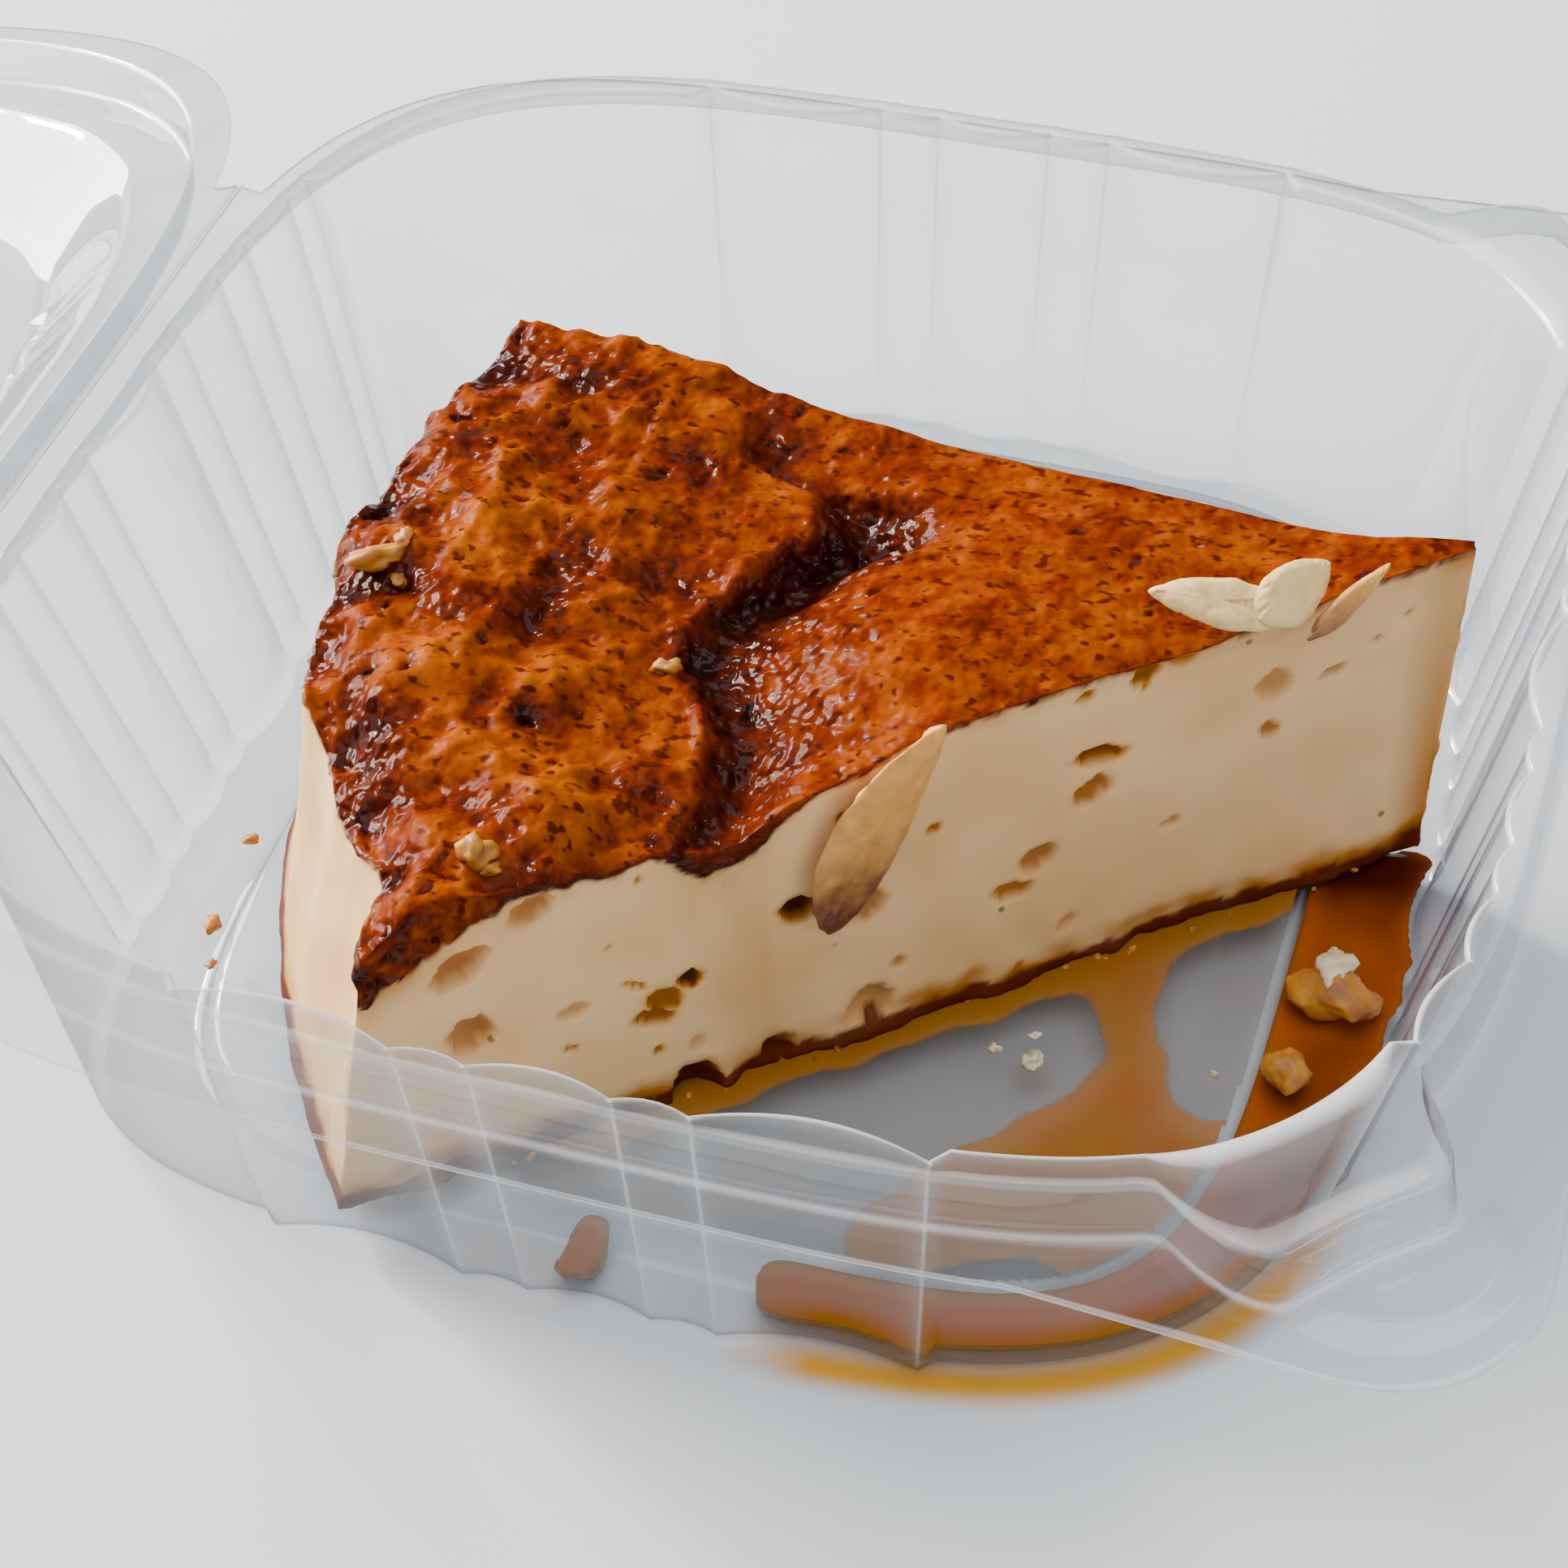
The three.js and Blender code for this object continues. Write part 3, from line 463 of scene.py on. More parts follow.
def tray_rows(station):
    """The tray's sheet in one direction, from its middle out to the rim."""
    half = SHEET / 2
    rows = [(0, 0, FLOOR_Z - 0.1)]
    for share in (0.35, 0.7, 0.9):
        x, y = floor_edge(station)
        rows.append((x * share, y * share, FLOOR_Z - 0.1))
    for spread, z in (
        (-0.9, 3.5), (-0.35, 3.42), (0.05, 3.2), (0.4, 2.7), (1.0, 1.5), (1.35, 0.9), (1.8, 0.5), (2.6, half),
    ):
        rows.append((*floor_edge(station, spread), z, 0.22 if spread == 0.05 else 0.0))
    foot_in = wall_foot(station, FOOT_FILLET)
    for share in (0.4, 0.8):
        rows.append((*between(rows[-1][:2], foot_in, share), half))
    for turn in (0, 25, 50, 75):
        a = math.radians(turn)
        extra = FOOT_FILLET * (1 - math.sin(a))
        rows.append((*wall_foot(station, extra - half), half + (WALL_FOOT_Z - half) * (1 - math.cos(a))))
    low, high = wall_foot(station, -half), wall_top(station, -half)
    # The fourth column whitens ribs, crest and folds: partly stress whitening, partly painted highlight
    rib = 1.0 if station[1] == 0 else 0.35 * math.exp(-station[1] / 0.6) if station[1] > 0 else 0.0
    for k in range(8):
        share = k / 8
        z = WALL_FOOT_Z + (CREST_Z - 1.0 - WALL_FOOT_Z) * share
        rows.append((*between(low, high, share), z, rib * (0.35 + 0.65 * share)))
    outer = crest(station[0], CREST_OUTER_HALF - half)
    top = CREST_Z - 0.12
    for share, drop, fold in ((0.0, 0.9, 0.1), (0.03, 0.45, 0.9), (0.1, 0.12, 0.9), (0.25, 0, 0.1)):
        rows.append((*between(high, outer, share), top - drop, max(fold, 0.7 * rib)))
    for share, z, fold in ((0.5, top, 0), (0.75, top, 0), (0.92, top - 0.1, 0.45), (0.98, top - 0.4, 0.45)):
        rows.append((*between(high, outer, share), z, fold))
    base = crest(station[0], CREST_FOOT_HALF - half)
    rim_z = RIM_Z - half
    for share in (0.0, 0.25, 0.5, 0.75):
        z = top - 0.8 + (rim_z + 0.7 - top + 0.8) * share
        rows.append((*between(outer, base, share), z))
    for off, z, fold in ((0.1, 0.45, 0.1), (0.35, 0.15, 0.7), (0.8, 0.0, 0.1)):
        rows.append((*crest(station[0], CREST_FOOT_HALF - half + off), rim_z + z, fold))
    return rows + flange_rows(station, rim_z, CREST_FOOT_HALF + 0.6, 1)


def lid_rows(station):
    """The closed lid's sheet in one direction, from its middle out to the rim."""
    half = SHEET / 2
    panel_z = LID_PANEL_Z + half
    # The fourth column whitens the panel faintly and its folds more, partly as painted highlight
    rows = [(0, 0, panel_z, 0.3)]
    panel = rounded_square(station[0], LID_PANEL_HALF, CREST_SQUARENESS, station[1] * 0.6)
    for share in (0.4, 0.75, 0.94, 0.98):
        rows.append((panel[0] * share, panel[1] * share, panel_z, 0.3))
    slope = rounded_square(station[0], LID_SLOPE_FOOT_HALF, CREST_SQUARENESS)
    channel_z = LID_CHANNEL_Z + half
    for share in (0.0, 0.06, 0.15, 0.35, 0.6, 0.85, 0.94, 1.0):
        drop = (panel_z - channel_z) * share
        soften = 0.35 * (math.exp(-((share / 0.06) ** 2)) - math.exp(-(((1 - share) / 0.06) ** 2)))
        fold = 0.5 if share in (0.06, 0.94) else 0.0
        rows.append((*between(panel, slope, share), panel_z - drop - soften, fold))
    top = crest(station[0], LID_STEP_TOP_HALF + half)
    for share, z, fold in ((0.15, 0, 0), (0.5, 0, 0), (0.85, 0, 0), (0.95, -0.1, 0.6), (0.99, -0.35, 0.6)):
        rows.append((*between(slope, top, share), channel_z + z, fold))
    foot = crest(station[0], LID_STEP_FOOT_HALF + half)
    rim_z = RIM_Z + FIT_GAP + half
    for share in (0.0, 0.3, 0.6, 0.9):
        rows.append((*between(top, foot, share), channel_z - 0.8 + (rim_z + 0.6 - channel_z + 0.8) * share))
    for off, z, fold in ((0.1, 0.4, 0.1), (0.35, 0.12, 0.6), (0.8, 0.0, 0.1)):
        rows.append((*crest(station[0], LID_STEP_FOOT_HALF + half + off), rim_z + z, fold))
    return rows + flange_rows(station, rim_z, LID_STEP_FOOT_HALF + 1.2, -1)


def box_sheet(rows_of):
    """One thin sheet through the rows of every station, with its folds and cut edge marked for whitening and
    painted highlight.
    """
    stations = wall_stations()
    table = [rows_of(station) for station in stations]
    table.append(table[0])
    count = len(table[0]) - 1
    bm = grid(len(stations), count)
    fold = bm.verts.layers.float.new("fold")
    for v in bm.verts:
        row = table[round(v.co.x * len(stations))][round(v.co.y * count)]
        v[fold] = row[3] if len(row) > 3 else 0.0
        v.co = row[:3]
    return bm


# Flan: height and outline functions


def wedge_angle(share):
    return math.radians(BACK_CUT_ANGLE + (FRONT_CUT_ANGLE - BACK_CUT_ANGLE) * share)


def top_radius(share):
    return eased(ROUND_EDGE, share) + 0.7 * value_noise(share * 14, 3.7)


def fine_relief(x, y, scaled, relief):
    """Small lumps, wrinkles and open bubbles in the caramel skin: (height, how deep in a bubble)."""
    outer = step(60, 84, scaled)
    p = Vector((x, y, 0))
    lumps = 0.55 * noise.noise(p / 2.7) + 0.3 * noise.noise(p / 1.2 + Vector((7, 0, 0)))
    wrinkles = 1 - abs(noise.noise(Vector((x / 4.0, y / 5.2, 4)) + 0.5 * noise.noise_vector(p / 6)))
    pit = 0.0
    for size, depth, chance in SKIN_PITS:
        warped = (p + 1.3 * noise.noise_vector(p / 2.2)) / size
        distances, points = noise.voronoi(warped + Vector((size, 0, 0.3)))
        if hashed(round(points[0].x * 31), round(points[0].y * 17)) < chance:
            pit = max(pit, depth * step(0.3, 0.08, distances[0]))
    height = relief * (lumps * (0.22 + 1.0 * outer) + 0.75 * outer * wrinkles**4) - pit * (0.4 + 0.7 * outer)
    return height, pit


def top_height(distance, share, relief):
    """Height of the caramel top, its burnt look there, and how deep it lies in a bubble."""
    edge = top_radius(share)
    scaled = distance * TOP_RADIUS / edge
    blend = share * share * (3 - 2 * share)
    height = eased(BACK_EDGE, scaled) * (1 - blend) + eased(FRONT_EDGE, scaled) * blend
    trough_at = eased(TROUGH, share, 1)
    off = scaled - trough_at
    trough_width = TROUGH_HALF_WIDTH["outward" if off > 0 else "inward"]
    dip = eased(TROUGH, share, 2) * bell(off, 0, trough_width)
    height -= dip
    for middle, half_length, across, half_width, rise in HUMPS:
        height += rise * bell(scaled, middle, half_length) * bell(share, across, half_width)
    rough = min(1.0, max(0.0, (scaled - ROUGH_FROM) / ROUGH_OVER))
    x = distance * math.cos(wedge_angle(share))
    y = distance * math.sin(wedge_angle(share))
    lumps = 0.0
    for k, (size, rise) in enumerate(ROUGH_LUMPS):
        lumps += rough * rise * value_noise(x / size + 9 + k, y / size)
    height += lumps + SMOOTH_LUMPS[1] * value_noise(x / SMOOTH_LUMPS[0] + 31, y / SMOOTH_LUMPS[0])
    fine, pit = fine_relief(x, y, scaled, relief)
    # The thick outer skin ends in a torn lip above the trough
    torn = noise.noise(Vector((x, y, 21)) / 2.4)
    torn_off = off - TORN_WANDER * torn
    lip = step(0.1, 0.5, share) * step(1.0, 0.8, share) * bell(torn_off, *TORN_LIP)
    height += 0.9 * lip
    cliff = step(0.05, 0.4, share) * bell(torn_off, *TORN_CLIFF)
    patches = noise.noise(Vector((x, y, 9)) / 8.0)
    rim = step(92, 102, scaled)
    burnt = BURNT_LEAST + 0.12 * rim + 0.09 * dip + 0.5 * min(1.0, pit) + 0.26 * cliff * (0.8 + torn)
    burnt += 0.3 * rough * max(0.0, patches) + 0.1 * patches - 0.1 * lumps * rough - 0.15 * fine
    return height + fine, burnt, pit


def wedge_point(fraction, share, level, height):
    radius = FOOT_RADIUS + (top_radius(share) - FOOT_RADIUS) * level**0.8
    distance = TIP_RADIUS + (radius - TIP_RADIUS) * fraction
    angle = wedge_angle(share)
    z = WEDGE_FOOT_Z + (height - WEDGE_FOOT_Z) * level
    lean = max(0.0, 1 - fraction / TIP_LEAN_SHARE)
    lean_x = lean * (TIP_LEAN_FOOT[0] + (TIP_LEAN_TOP[0] - TIP_LEAN_FOOT[0]) * level)
    lean_y = lean * (TIP_LEAN_FOOT[1] + (TIP_LEAN_TOP[1] - TIP_LEAN_FOOT[1]) * level)
    uneven = 1 + 0.5 * value_noise(distance / 3.1, level * 5)
    spread = FOOT_SPREAD * (1 - level) ** 6 * share**8 * (1 - lean) * uneven
    cut = math.radians(FRONT_CUT_ANGLE)
    x = TIP[0] + distance * math.cos(angle) + lean_x - spread * math.sin(cut)
    y = TIP[1] + distance * math.sin(angle) + lean_y + spread * math.cos(cut)
    return Vector((x, y, z))


def top_at(x, y, relief=0.6):
    """Height of the caramel top over a point of the tray's frame."""
    dx, dy = x - TIP[0], y - TIP[1]
    share = (math.degrees(math.atan2(dy, dx)) % 360 - BACK_CUT_ANGLE) / (FRONT_CUT_ANGLE - BACK_CUT_ANGLE)
    return top_height(math.hypot(dx, dy), share, relief)[0]


FRONT_NORMAL = Vector((-math.sin(math.radians(FRONT_CUT_ANGLE)), math.cos(math.radians(FRONT_CUT_ANGLE)), 0))
FRONT_ALONG = Vector((math.cos(math.radians(FRONT_CUT_ANGLE)), math.sin(math.radians(FRONT_CUT_ANGLE)), 0))


def bubble_depth(s, z):
    """Depth of the hollow at distance s from the tip and height z, and its caramel in and round it with
    painted shade inside.
    """
    deepest = stain_and_shade = 0.0
    wobble = 0.22 * noise.noise(Vector((s, z, 0)) / 1.3) + 0.1 * noise.noise(Vector((s, z, 5)) / 0.5)
    for distance, height, half_length, half_height, rise, caramel, depth in BUBBLES:
        u, v = s - distance, z - height
        if abs(u) > 4.5 or abs(v) > 4.5:
            continue
        c, d = math.cos(math.radians(rise)), math.sin(math.radians(rise))
        off = math.hypot((u * c - v * d) / half_length, (u * d + v * c) / half_height) + wobble
        if off < 1:
            deepest = max(deepest, depth * (1 - off * off) ** 0.4)
            low = 0.5 - 0.5 * max(-1.0, min(1.0, v / half_height))
            # Inside a hollow the caramel gathers lower down; the 0.34 added is painted shade
            stain_and_shade = max(stain_and_shade, caramel * (0.6 + 0.4 * low) + 0.34)
        stain_and_shade = max(stain_and_shade, (0.1 + 0.35 * caramel) * step(1.5, 1.0, off))
    return deepest, stain_and_shade


# Sauce: where the thin film of caramel lies on the raised floor, as runs of (x, y, half width)
FILM_RUNS = (
    (
        (-6, -48.5, 3.2), (4.5, -38.8, 2.6), (14, -31.5, 2.2), (24, -23.2, 2.2), (33, -15.2, 2.8),
        (46, -4, 2.0), (52, 1, 2),
    ),
    (
        (35.6, -15.5, 4.4), (37.8, -22, 2.1), (39.6, -26.5, 2.4), (39.5, -32, 4.0), (37, -40, 6.6),
        (41, -44, 8),
    ),
    ((33.5, -38.5, 3.0), (30, -46, 6), (24, -52, 4.5)),
    ((41, -36, 5.5), (47, -36.5, 5.2), (50.5, -33.5, 3)),
)


# How sharply two runs of the film meet
FILM_MERGE = 1.1


def film_depth(x, y):
    """How far a point lies inside the film's outline, in millimetres."""
    total = 0.0
    for run in FILM_RUNS:
        for (ax, ay, ar), (bx, by, br) in zip(run, run[1:]):
            dx, dy = bx - ax, by - ay
            share = min(1.0, max(0.0, ((x - ax) * dx + (y - ay) * dy) / (dx * dx + dy * dy)))
            away = math.hypot(x - ax - share * dx, y - ay - share * dy)
            total += math.exp(FILM_MERGE * max(-20.0, ar + (br - ar) * share - away))
    ragged = 0.5 * noise.noise(Vector((x, y, 3)) / 4.5) + 0.2 * noise.noise(Vector((x, y, 8)) / 1.6)
    return math.log(total) / FILM_MERGE - 0.35 + ragged


# Materials


def clear_sheet_material(look):
    """PET sheet, vacuum formed: clear and glossy, grey where it is seen edge on, white in its folds (stress
    whitening and painted highlight).
    """
    material, tree = new_material("PET sheet vacuum formed")
    coords = node(tree, "ShaderNodeTexCoord")
    # Chill waves of about 9 mm
    waves = node(tree, "ShaderNodeTexNoise", {"Vector": coords.outputs["Object"], "Scale": 110, "Detail": 0})
    bump = node(tree, "ShaderNodeBump", {"Height": waves.outputs[0], "Strength": 0.3, "Distance": 0.0012})
    facing = node(tree, "ShaderNodeLayerWeight", {"Blend": 0.5, "Normal": bump.outputs[0]}).outputs["Facing"]
    steep = node(tree, "ShaderNodeMath", {0: facing, 1: 3.0}, operation="POWER")
    shine = node(tree, "ShaderNodeMath", {
        0: steep.outputs[0], 1: 0.42, 2: 0.05,
    }, operation="MULTIPLY_ADD", use_clamp=True)
    soft = node(tree, "ShaderNodeMath", {0: facing, 1: 2.2}, operation="POWER")
    # fold: white mixed into the sheet, partly stress whitening and partly painted highlight
    fold = node(tree, "ShaderNodeAttribute", attribute_name="fold").outputs["Fac"]
    white = node(tree, "ShaderNodeMath", {0: fold, 1: look.fold}, operation="MULTIPLY", use_clamp=True)
    tint = node(tree, "ShaderNodeMix", {
        0: soft.outputs[0], 6: (*look.tint, 1), 7: (*look.edge_tint, 1),
    }, data_type="RGBA")
    clear = node(tree, "ShaderNodeBsdfTransparent", {"Color": tint.outputs[2]})
    whitening_and_painted_highlight = node(tree, "ShaderNodeBsdfDiffuse", {"Color": srgb("#F6F7F9")})
    gloss = node(tree, "ShaderNodeBsdfGlossy", {
        "Color": srgb("#FFFFFF"), "Roughness": 0.0, "Normal": bump.outputs[0],
    })
    body = node(tree, "ShaderNodeMixShader", {0: white.outputs[0], 1: clear.outputs[0], 2: whitening_and_painted_highlight.outputs[0]})
    mixed = node(tree, "ShaderNodeMixShader", {0: shine.outputs[0], 1: body.outputs[0], 2: gloss.outputs[0]})
    # Light on its way to other things passes a plainer sheet, which is quick to work out
    path = node(tree, "ShaderNodeLightPath")
    passing = node(tree, "ShaderNodeMath", {
        0: path.outputs["Is Shadow Ray"], 1: path.outputs["Is Diffuse Ray"],
    }, operation="MAXIMUM")
    slant = node(tree, "ShaderNodeLayerWeight", {"Blend": 0.5}).outputs["Facing"]
    slanted = node(tree, "ShaderNodeMath", {0: slant, 1: 2.2}, operation="POWER")
    shade = node(tree, "ShaderNodeMix", {
        0: slanted.outputs[0], 6: (*look.tint, 1), 7: (*look.edge_tint, 1),
    }, data_type="RGBA")
    plain = node(tree, "ShaderNodeBsdfTransparent", {"Color": shade.outputs[2]})
    sheet = node(tree, "ShaderNodeMixShader", {
        0: passing.outputs[0], 1: mixed.outputs[0], 2: plain.outputs[0],
    })
    node(tree, "ShaderNodeOutputMaterial", {"Surface": sheet.outputs[0]})
    return material


def flan_material(look):
    """Baked egg custard with a caramel skin: moist, slightly see-through, and glossy on top."""
    material, tree = new_material("Egg custard baked with caramel skin")
    at = node(tree, "ShaderNodeTexCoord").outputs["Object"]

    def attribute(name):
        return node(tree, "ShaderNodeAttribute", attribute_name=name).outputs["Fac"]

    skin, burnt, stain_and_shade, foot = (attribute(name) for name in ("skin", "burnt", "stain_and_shade", "foot"))
    # Caramel skin: colour follows how burnt it is, with mottling of about 2.5 mm
    mottle = node(tree, "ShaderNodeTexNoise", {"Vector": at, "Scale": 400, "Detail": 3, "Roughness": 0.62})
    mixed = node(tree, "ShaderNodeMath", {0: mottle.outputs[0], 1: 0.62, 2: burnt}, operation="MULTIPLY_ADD")
    ramp = node(tree, "ShaderNodeValToRGB", {0: mixed.outputs[0]})
    ramp.color_ramp.elements[0].position = 0.3
    ramp.color_ramp.elements[0].color = srgb("#A45002")
    ramp.color_ramp.elements[1].position = 1.0
    ramp.color_ramp.elements[1].color = srgb("#260702")
    for position, colour in ((0.46, look.caramel_light), (0.62, look.caramel_mid), (0.8, look.caramel_dark)):
        element = ramp.color_ramp.elements.new(position)
        element.color = (*colour, 1)
    # Burnt flecks of about 0.7 mm
    stretched = node(tree, "ShaderNodeMapping", {"Vector": at, "Scale": (0.85, 1.1, 1.0)})
    holes = node(tree, "ShaderNodeTexNoise", {
        "Vector": stretched.outputs[0], "Scale": 880, "Detail": 1, "Roughness": 0.5,
    })
    dotted = node(tree, "ShaderNodeMapRange", {"Value": holes.outputs[0], 1: 0.585, 2: 0.68, 3: 0.0, 4: 0.95})
    darker = node(tree, "ShaderNodeMath", {0: dotted.outputs[0], 1: 0.95}, operation="MULTIPLY")
    caramel = node(tree, "ShaderNodeMix", {
        0: darker.outputs[0], 6: ramp.outputs[0], 7: srgb("#421000"),
    }, data_type="RGBA")
    # Custard: cream, stained amber where sauce has soaked in, shaded amber inside its hollows as painted
    # shade, and dark along its foot
    cloud = node(tree, "ShaderNodeTexNoise", {"Vector": at, "Scale": 95, "Detail": 1})
    cloudy = node(tree, "ShaderNodeMapRange", {"Value": cloud.outputs[0], 1: 0.35, 2: 0.7, 3: 0.0, 4: 1.0})
    cream = node(tree, "ShaderNodeMix", {
        0: cloudy.outputs[0], 6: (*look.custard, 1), 7: (*look.custard_warm, 1),
    }, data_type="RGBA")
    stained = node(tree, "ShaderNodeMix", {
        0: stain_and_shade, 6: cream.outputs[2], 7: (*look.stain_and_shade, 1),
    }, data_type="RGBA")
    deep = node(tree, "ShaderNodeMath", {0: stain_and_shade, 1: 1.0}, operation="SUBTRACT", use_clamp=True)
    wet = node(tree, "ShaderNodeMix", {
        0: deep.outputs[0], 6: stained.outputs[2], 7: srgb("#3A1002"),
    }, data_type="RGBA")
    specks = node(tree, "ShaderNodeTexVoronoi", {"Vector": at, "Scale": 190})
    speck = node(tree, "ShaderNodeMapRange", {
        "Value": specks.outputs["Distance"], 1: 0.05, 2: 0.085, 3: 0.75, 4: 0.0,
    })
    speck_pick = node(tree, "ShaderNodeSeparateColor", {0: specks.outputs["Color"]})
    few = node(tree, "ShaderNodeMath", {0: speck_pick.outputs[1], 1: 0.3}, operation="LESS_THAN")
    specked = node(tree, "ShaderNodeMath", {0: speck.outputs[0], 1: few.outputs[0]}, operation="MULTIPLY")
    spotted = node(tree, "ShaderNodeMix", {
        0: specked.outputs[0], 6: wet.outputs[2], 7: srgb("#7A4A1C"),
    }, data_type="RGBA")
    footed = node(tree, "ShaderNodeMix", {
        0: foot, 6: spotted.outputs[2], 7: srgb("#5A1C0A"),
    }, data_type="RGBA")
    colour = node(tree, "ShaderNodeMix", {
        0: skin, 6: footed.outputs[2], 7: caramel.outputs[2],
    }, data_type="RGBA")
    # Wet lumps of about 2 mm in the skin, which break the shine into glints
    crust = node(tree, "ShaderNodeTexNoise", {"Vector": at, "Scale": 520, "Detail": 1, "Roughness": 0.6})
    crusty = node(tree, "ShaderNodeMapRange", {"Value": burnt, 1: 0.24, 2: 0.42, 3: 0.3, 4: 1.0})
    amount = node(tree, "ShaderNodeMath", {0: crusty.outputs[0], 1: skin}, operation="MULTIPLY")
    sparkle = node(tree, "ShaderNodeBump", {
        "Height": crust.outputs[0], "Strength": amount.outputs[0], "Distance": 0.0016,
    })
    rough = node(tree, "ShaderNodeMapRange", {"Value": skin, 1: 0.0, 2: 1.0, 3: 0.42, 4: 0.34})
    glaze = node(tree, "ShaderNodeMapRange", {"Value": burnt, 1: 0.25, 2: 0.5, 3: 0.02, 4: 0.32})
    coat = node(tree, "ShaderNodeMath", {0: glaze.outputs[0], 1: skin}, operation="MULTIPLY")
    soft = node(tree, "ShaderNodeMapRange", {"Value": skin, 1: 0.0, 2: 1.0, 3: 0.4, 4: 0.0})
    shader = node(tree, "ShaderNodeBsdfPrincipled", {
        "Base Color": colour.outputs[2], "Roughness": rough.outputs[0], "IOR": 1.42,
        "Normal": sparkle.outputs[0],
        "Subsurface Weight": soft.outputs[0], "Subsurface Radius": (1.0, 0.55, 0.25),
        "Subsurface Scale": 0.0018,
        "Specular IOR Level": 0.02, "Coat Weight": coat.outputs[0], "Coat Roughness": 0.05,
        "Coat IOR": 1.45, "Coat Normal": sparkle.outputs[0],
    })
    shader.subsurface_method = "BURLEY"
    node(tree, "ShaderNodeOutputMaterial", {"Surface": shader.outputs[0]})
    return material


def sauce_material(look):
    """Liquid caramel: dark where it is deep, clear amber where it is thin."""
    material, tree = new_material("Liquid caramel cooked sugar")
    at = node(tree, "ShaderNodeTexCoord").outputs["Object"]
    depth = node(tree, "ShaderNodeAttribute", attribute_name="depth").outputs["Fac"]
    swirl = node(tree, "ShaderNodeTexNoise", {"Vector": at, "Scale": 120, "Detail": 1})
    uneven = node(tree, "ShaderNodeMath", {0: swirl.outputs[0], 1: 0.7, 2: -0.35}, operation="MULTIPLY_ADD")
    level = node(tree, "ShaderNodeMath", {0: uneven.outputs[0], 1: depth}, operation="ADD", use_clamp=True)
    colour = node(tree, "ShaderNodeValToRGB", {0: level.outputs[0]})
    colour.color_ramp.elements[0].color = (*look.film, 1)
    colour.color_ramp.elements[1].color = (*look.deep, 1)
    colour.color_ramp.elements.new(0.48).color = (*look.amber, 1)
    # Where the depth is negative, a faint brown sheet paints the shade and reflection of the flan's cut on
    # the bare floor
    cover = node(tree, "ShaderNodeMapRange", {"Value": depth, 1: 0.0, 2: 1.0, 3: 0.8, 4: 0.97})
    painted_shade_to_film = node(tree, "ShaderNodeMapRange", {"Value": depth, 1: -1.0, 2: 0.0, 3: 0.0, 4: 1.0})
    shown = node(tree, "ShaderNodeMix", {
        0: painted_shade_to_film.outputs[0], 2: 0.36, 3: cover.outputs[0],
    }, data_type="FLOAT")
    tone = node(tree, "ShaderNodeMix", {
        0: painted_shade_to_film.outputs[0], 6: srgb("#4A3A2C"), 7: colour.outputs[0],
    }, data_type="RGBA")
    ripple = node(tree, "ShaderNodeBump", {"Height": swirl.outputs[0], "Strength": 0.12, "Distance": 0.001})
    shader = node(tree, "ShaderNodeBsdfPrincipled", {
        "Base Color": tone.outputs[2], "Roughness": 0.12, "IOR": 1.48, "Alpha": shown.outputs[0],
        "Specular IOR Level": 0.08, "Coat Weight": 0.06, "Coat Roughness": 0.04, "Normal": ripple.outputs[0],
    })
    node(tree, "ShaderNodeOutputMaterial", {"Surface": shader.outputs[0]})
    return material


def nut_material(name, cream, toast, gloss):
    """Sliced almond: dry and pale where it is cut, brown and moist where it is toasted."""
    material, tree = new_material(name)
    at = node(tree, "ShaderNodeTexCoord").outputs["Object"]
    toasted = node(tree, "ShaderNodeAttribute", attribute_name="toasted").outputs["Fac"]
    # Fibres of about 1.2 mm
    fibre = node(tree, "ShaderNodeTexNoise", {"Vector": at, "Scale": 820, "Detail": 3})
    mixed = node(tree, "ShaderNodeMath", {0: fibre.outputs[0], 1: 0.5, 2: -0.25}, operation="MULTIPLY_ADD")
    level = node(tree, "ShaderNodeMath", {0: mixed.outputs[0], 1: toasted}, operation="ADD", use_clamp=True)
    colour = node(tree, "ShaderNodeMix", {
        0: level.outputs[0], 6: srgb(cream), 7: srgb(toast),
    }, data_type="RGBA")
    bump = node(tree, "ShaderNodeBump", {"Height": fibre.outputs[0], "Strength": 0.3, "Distance": 0.0003})
    shader = node(tree, "ShaderNodeBsdfPrincipled", {
        "Base Color": colour.outputs[2], "Roughness": 0.55, "Normal": bump.outputs[0],
        "Coat Weight": gloss, "Coat Roughness": 0.15,
    })
    node(tree, "ShaderNodeOutputMaterial", {"Surface": shader.outputs[0]})
    return material


# Settings


def colour_property(name, description, text):
    return FloatVectorProperty(
        name=name, description=description, subtype="COLOR", size=3, min=0, max=1, default=srgb(text)[:3],
    )


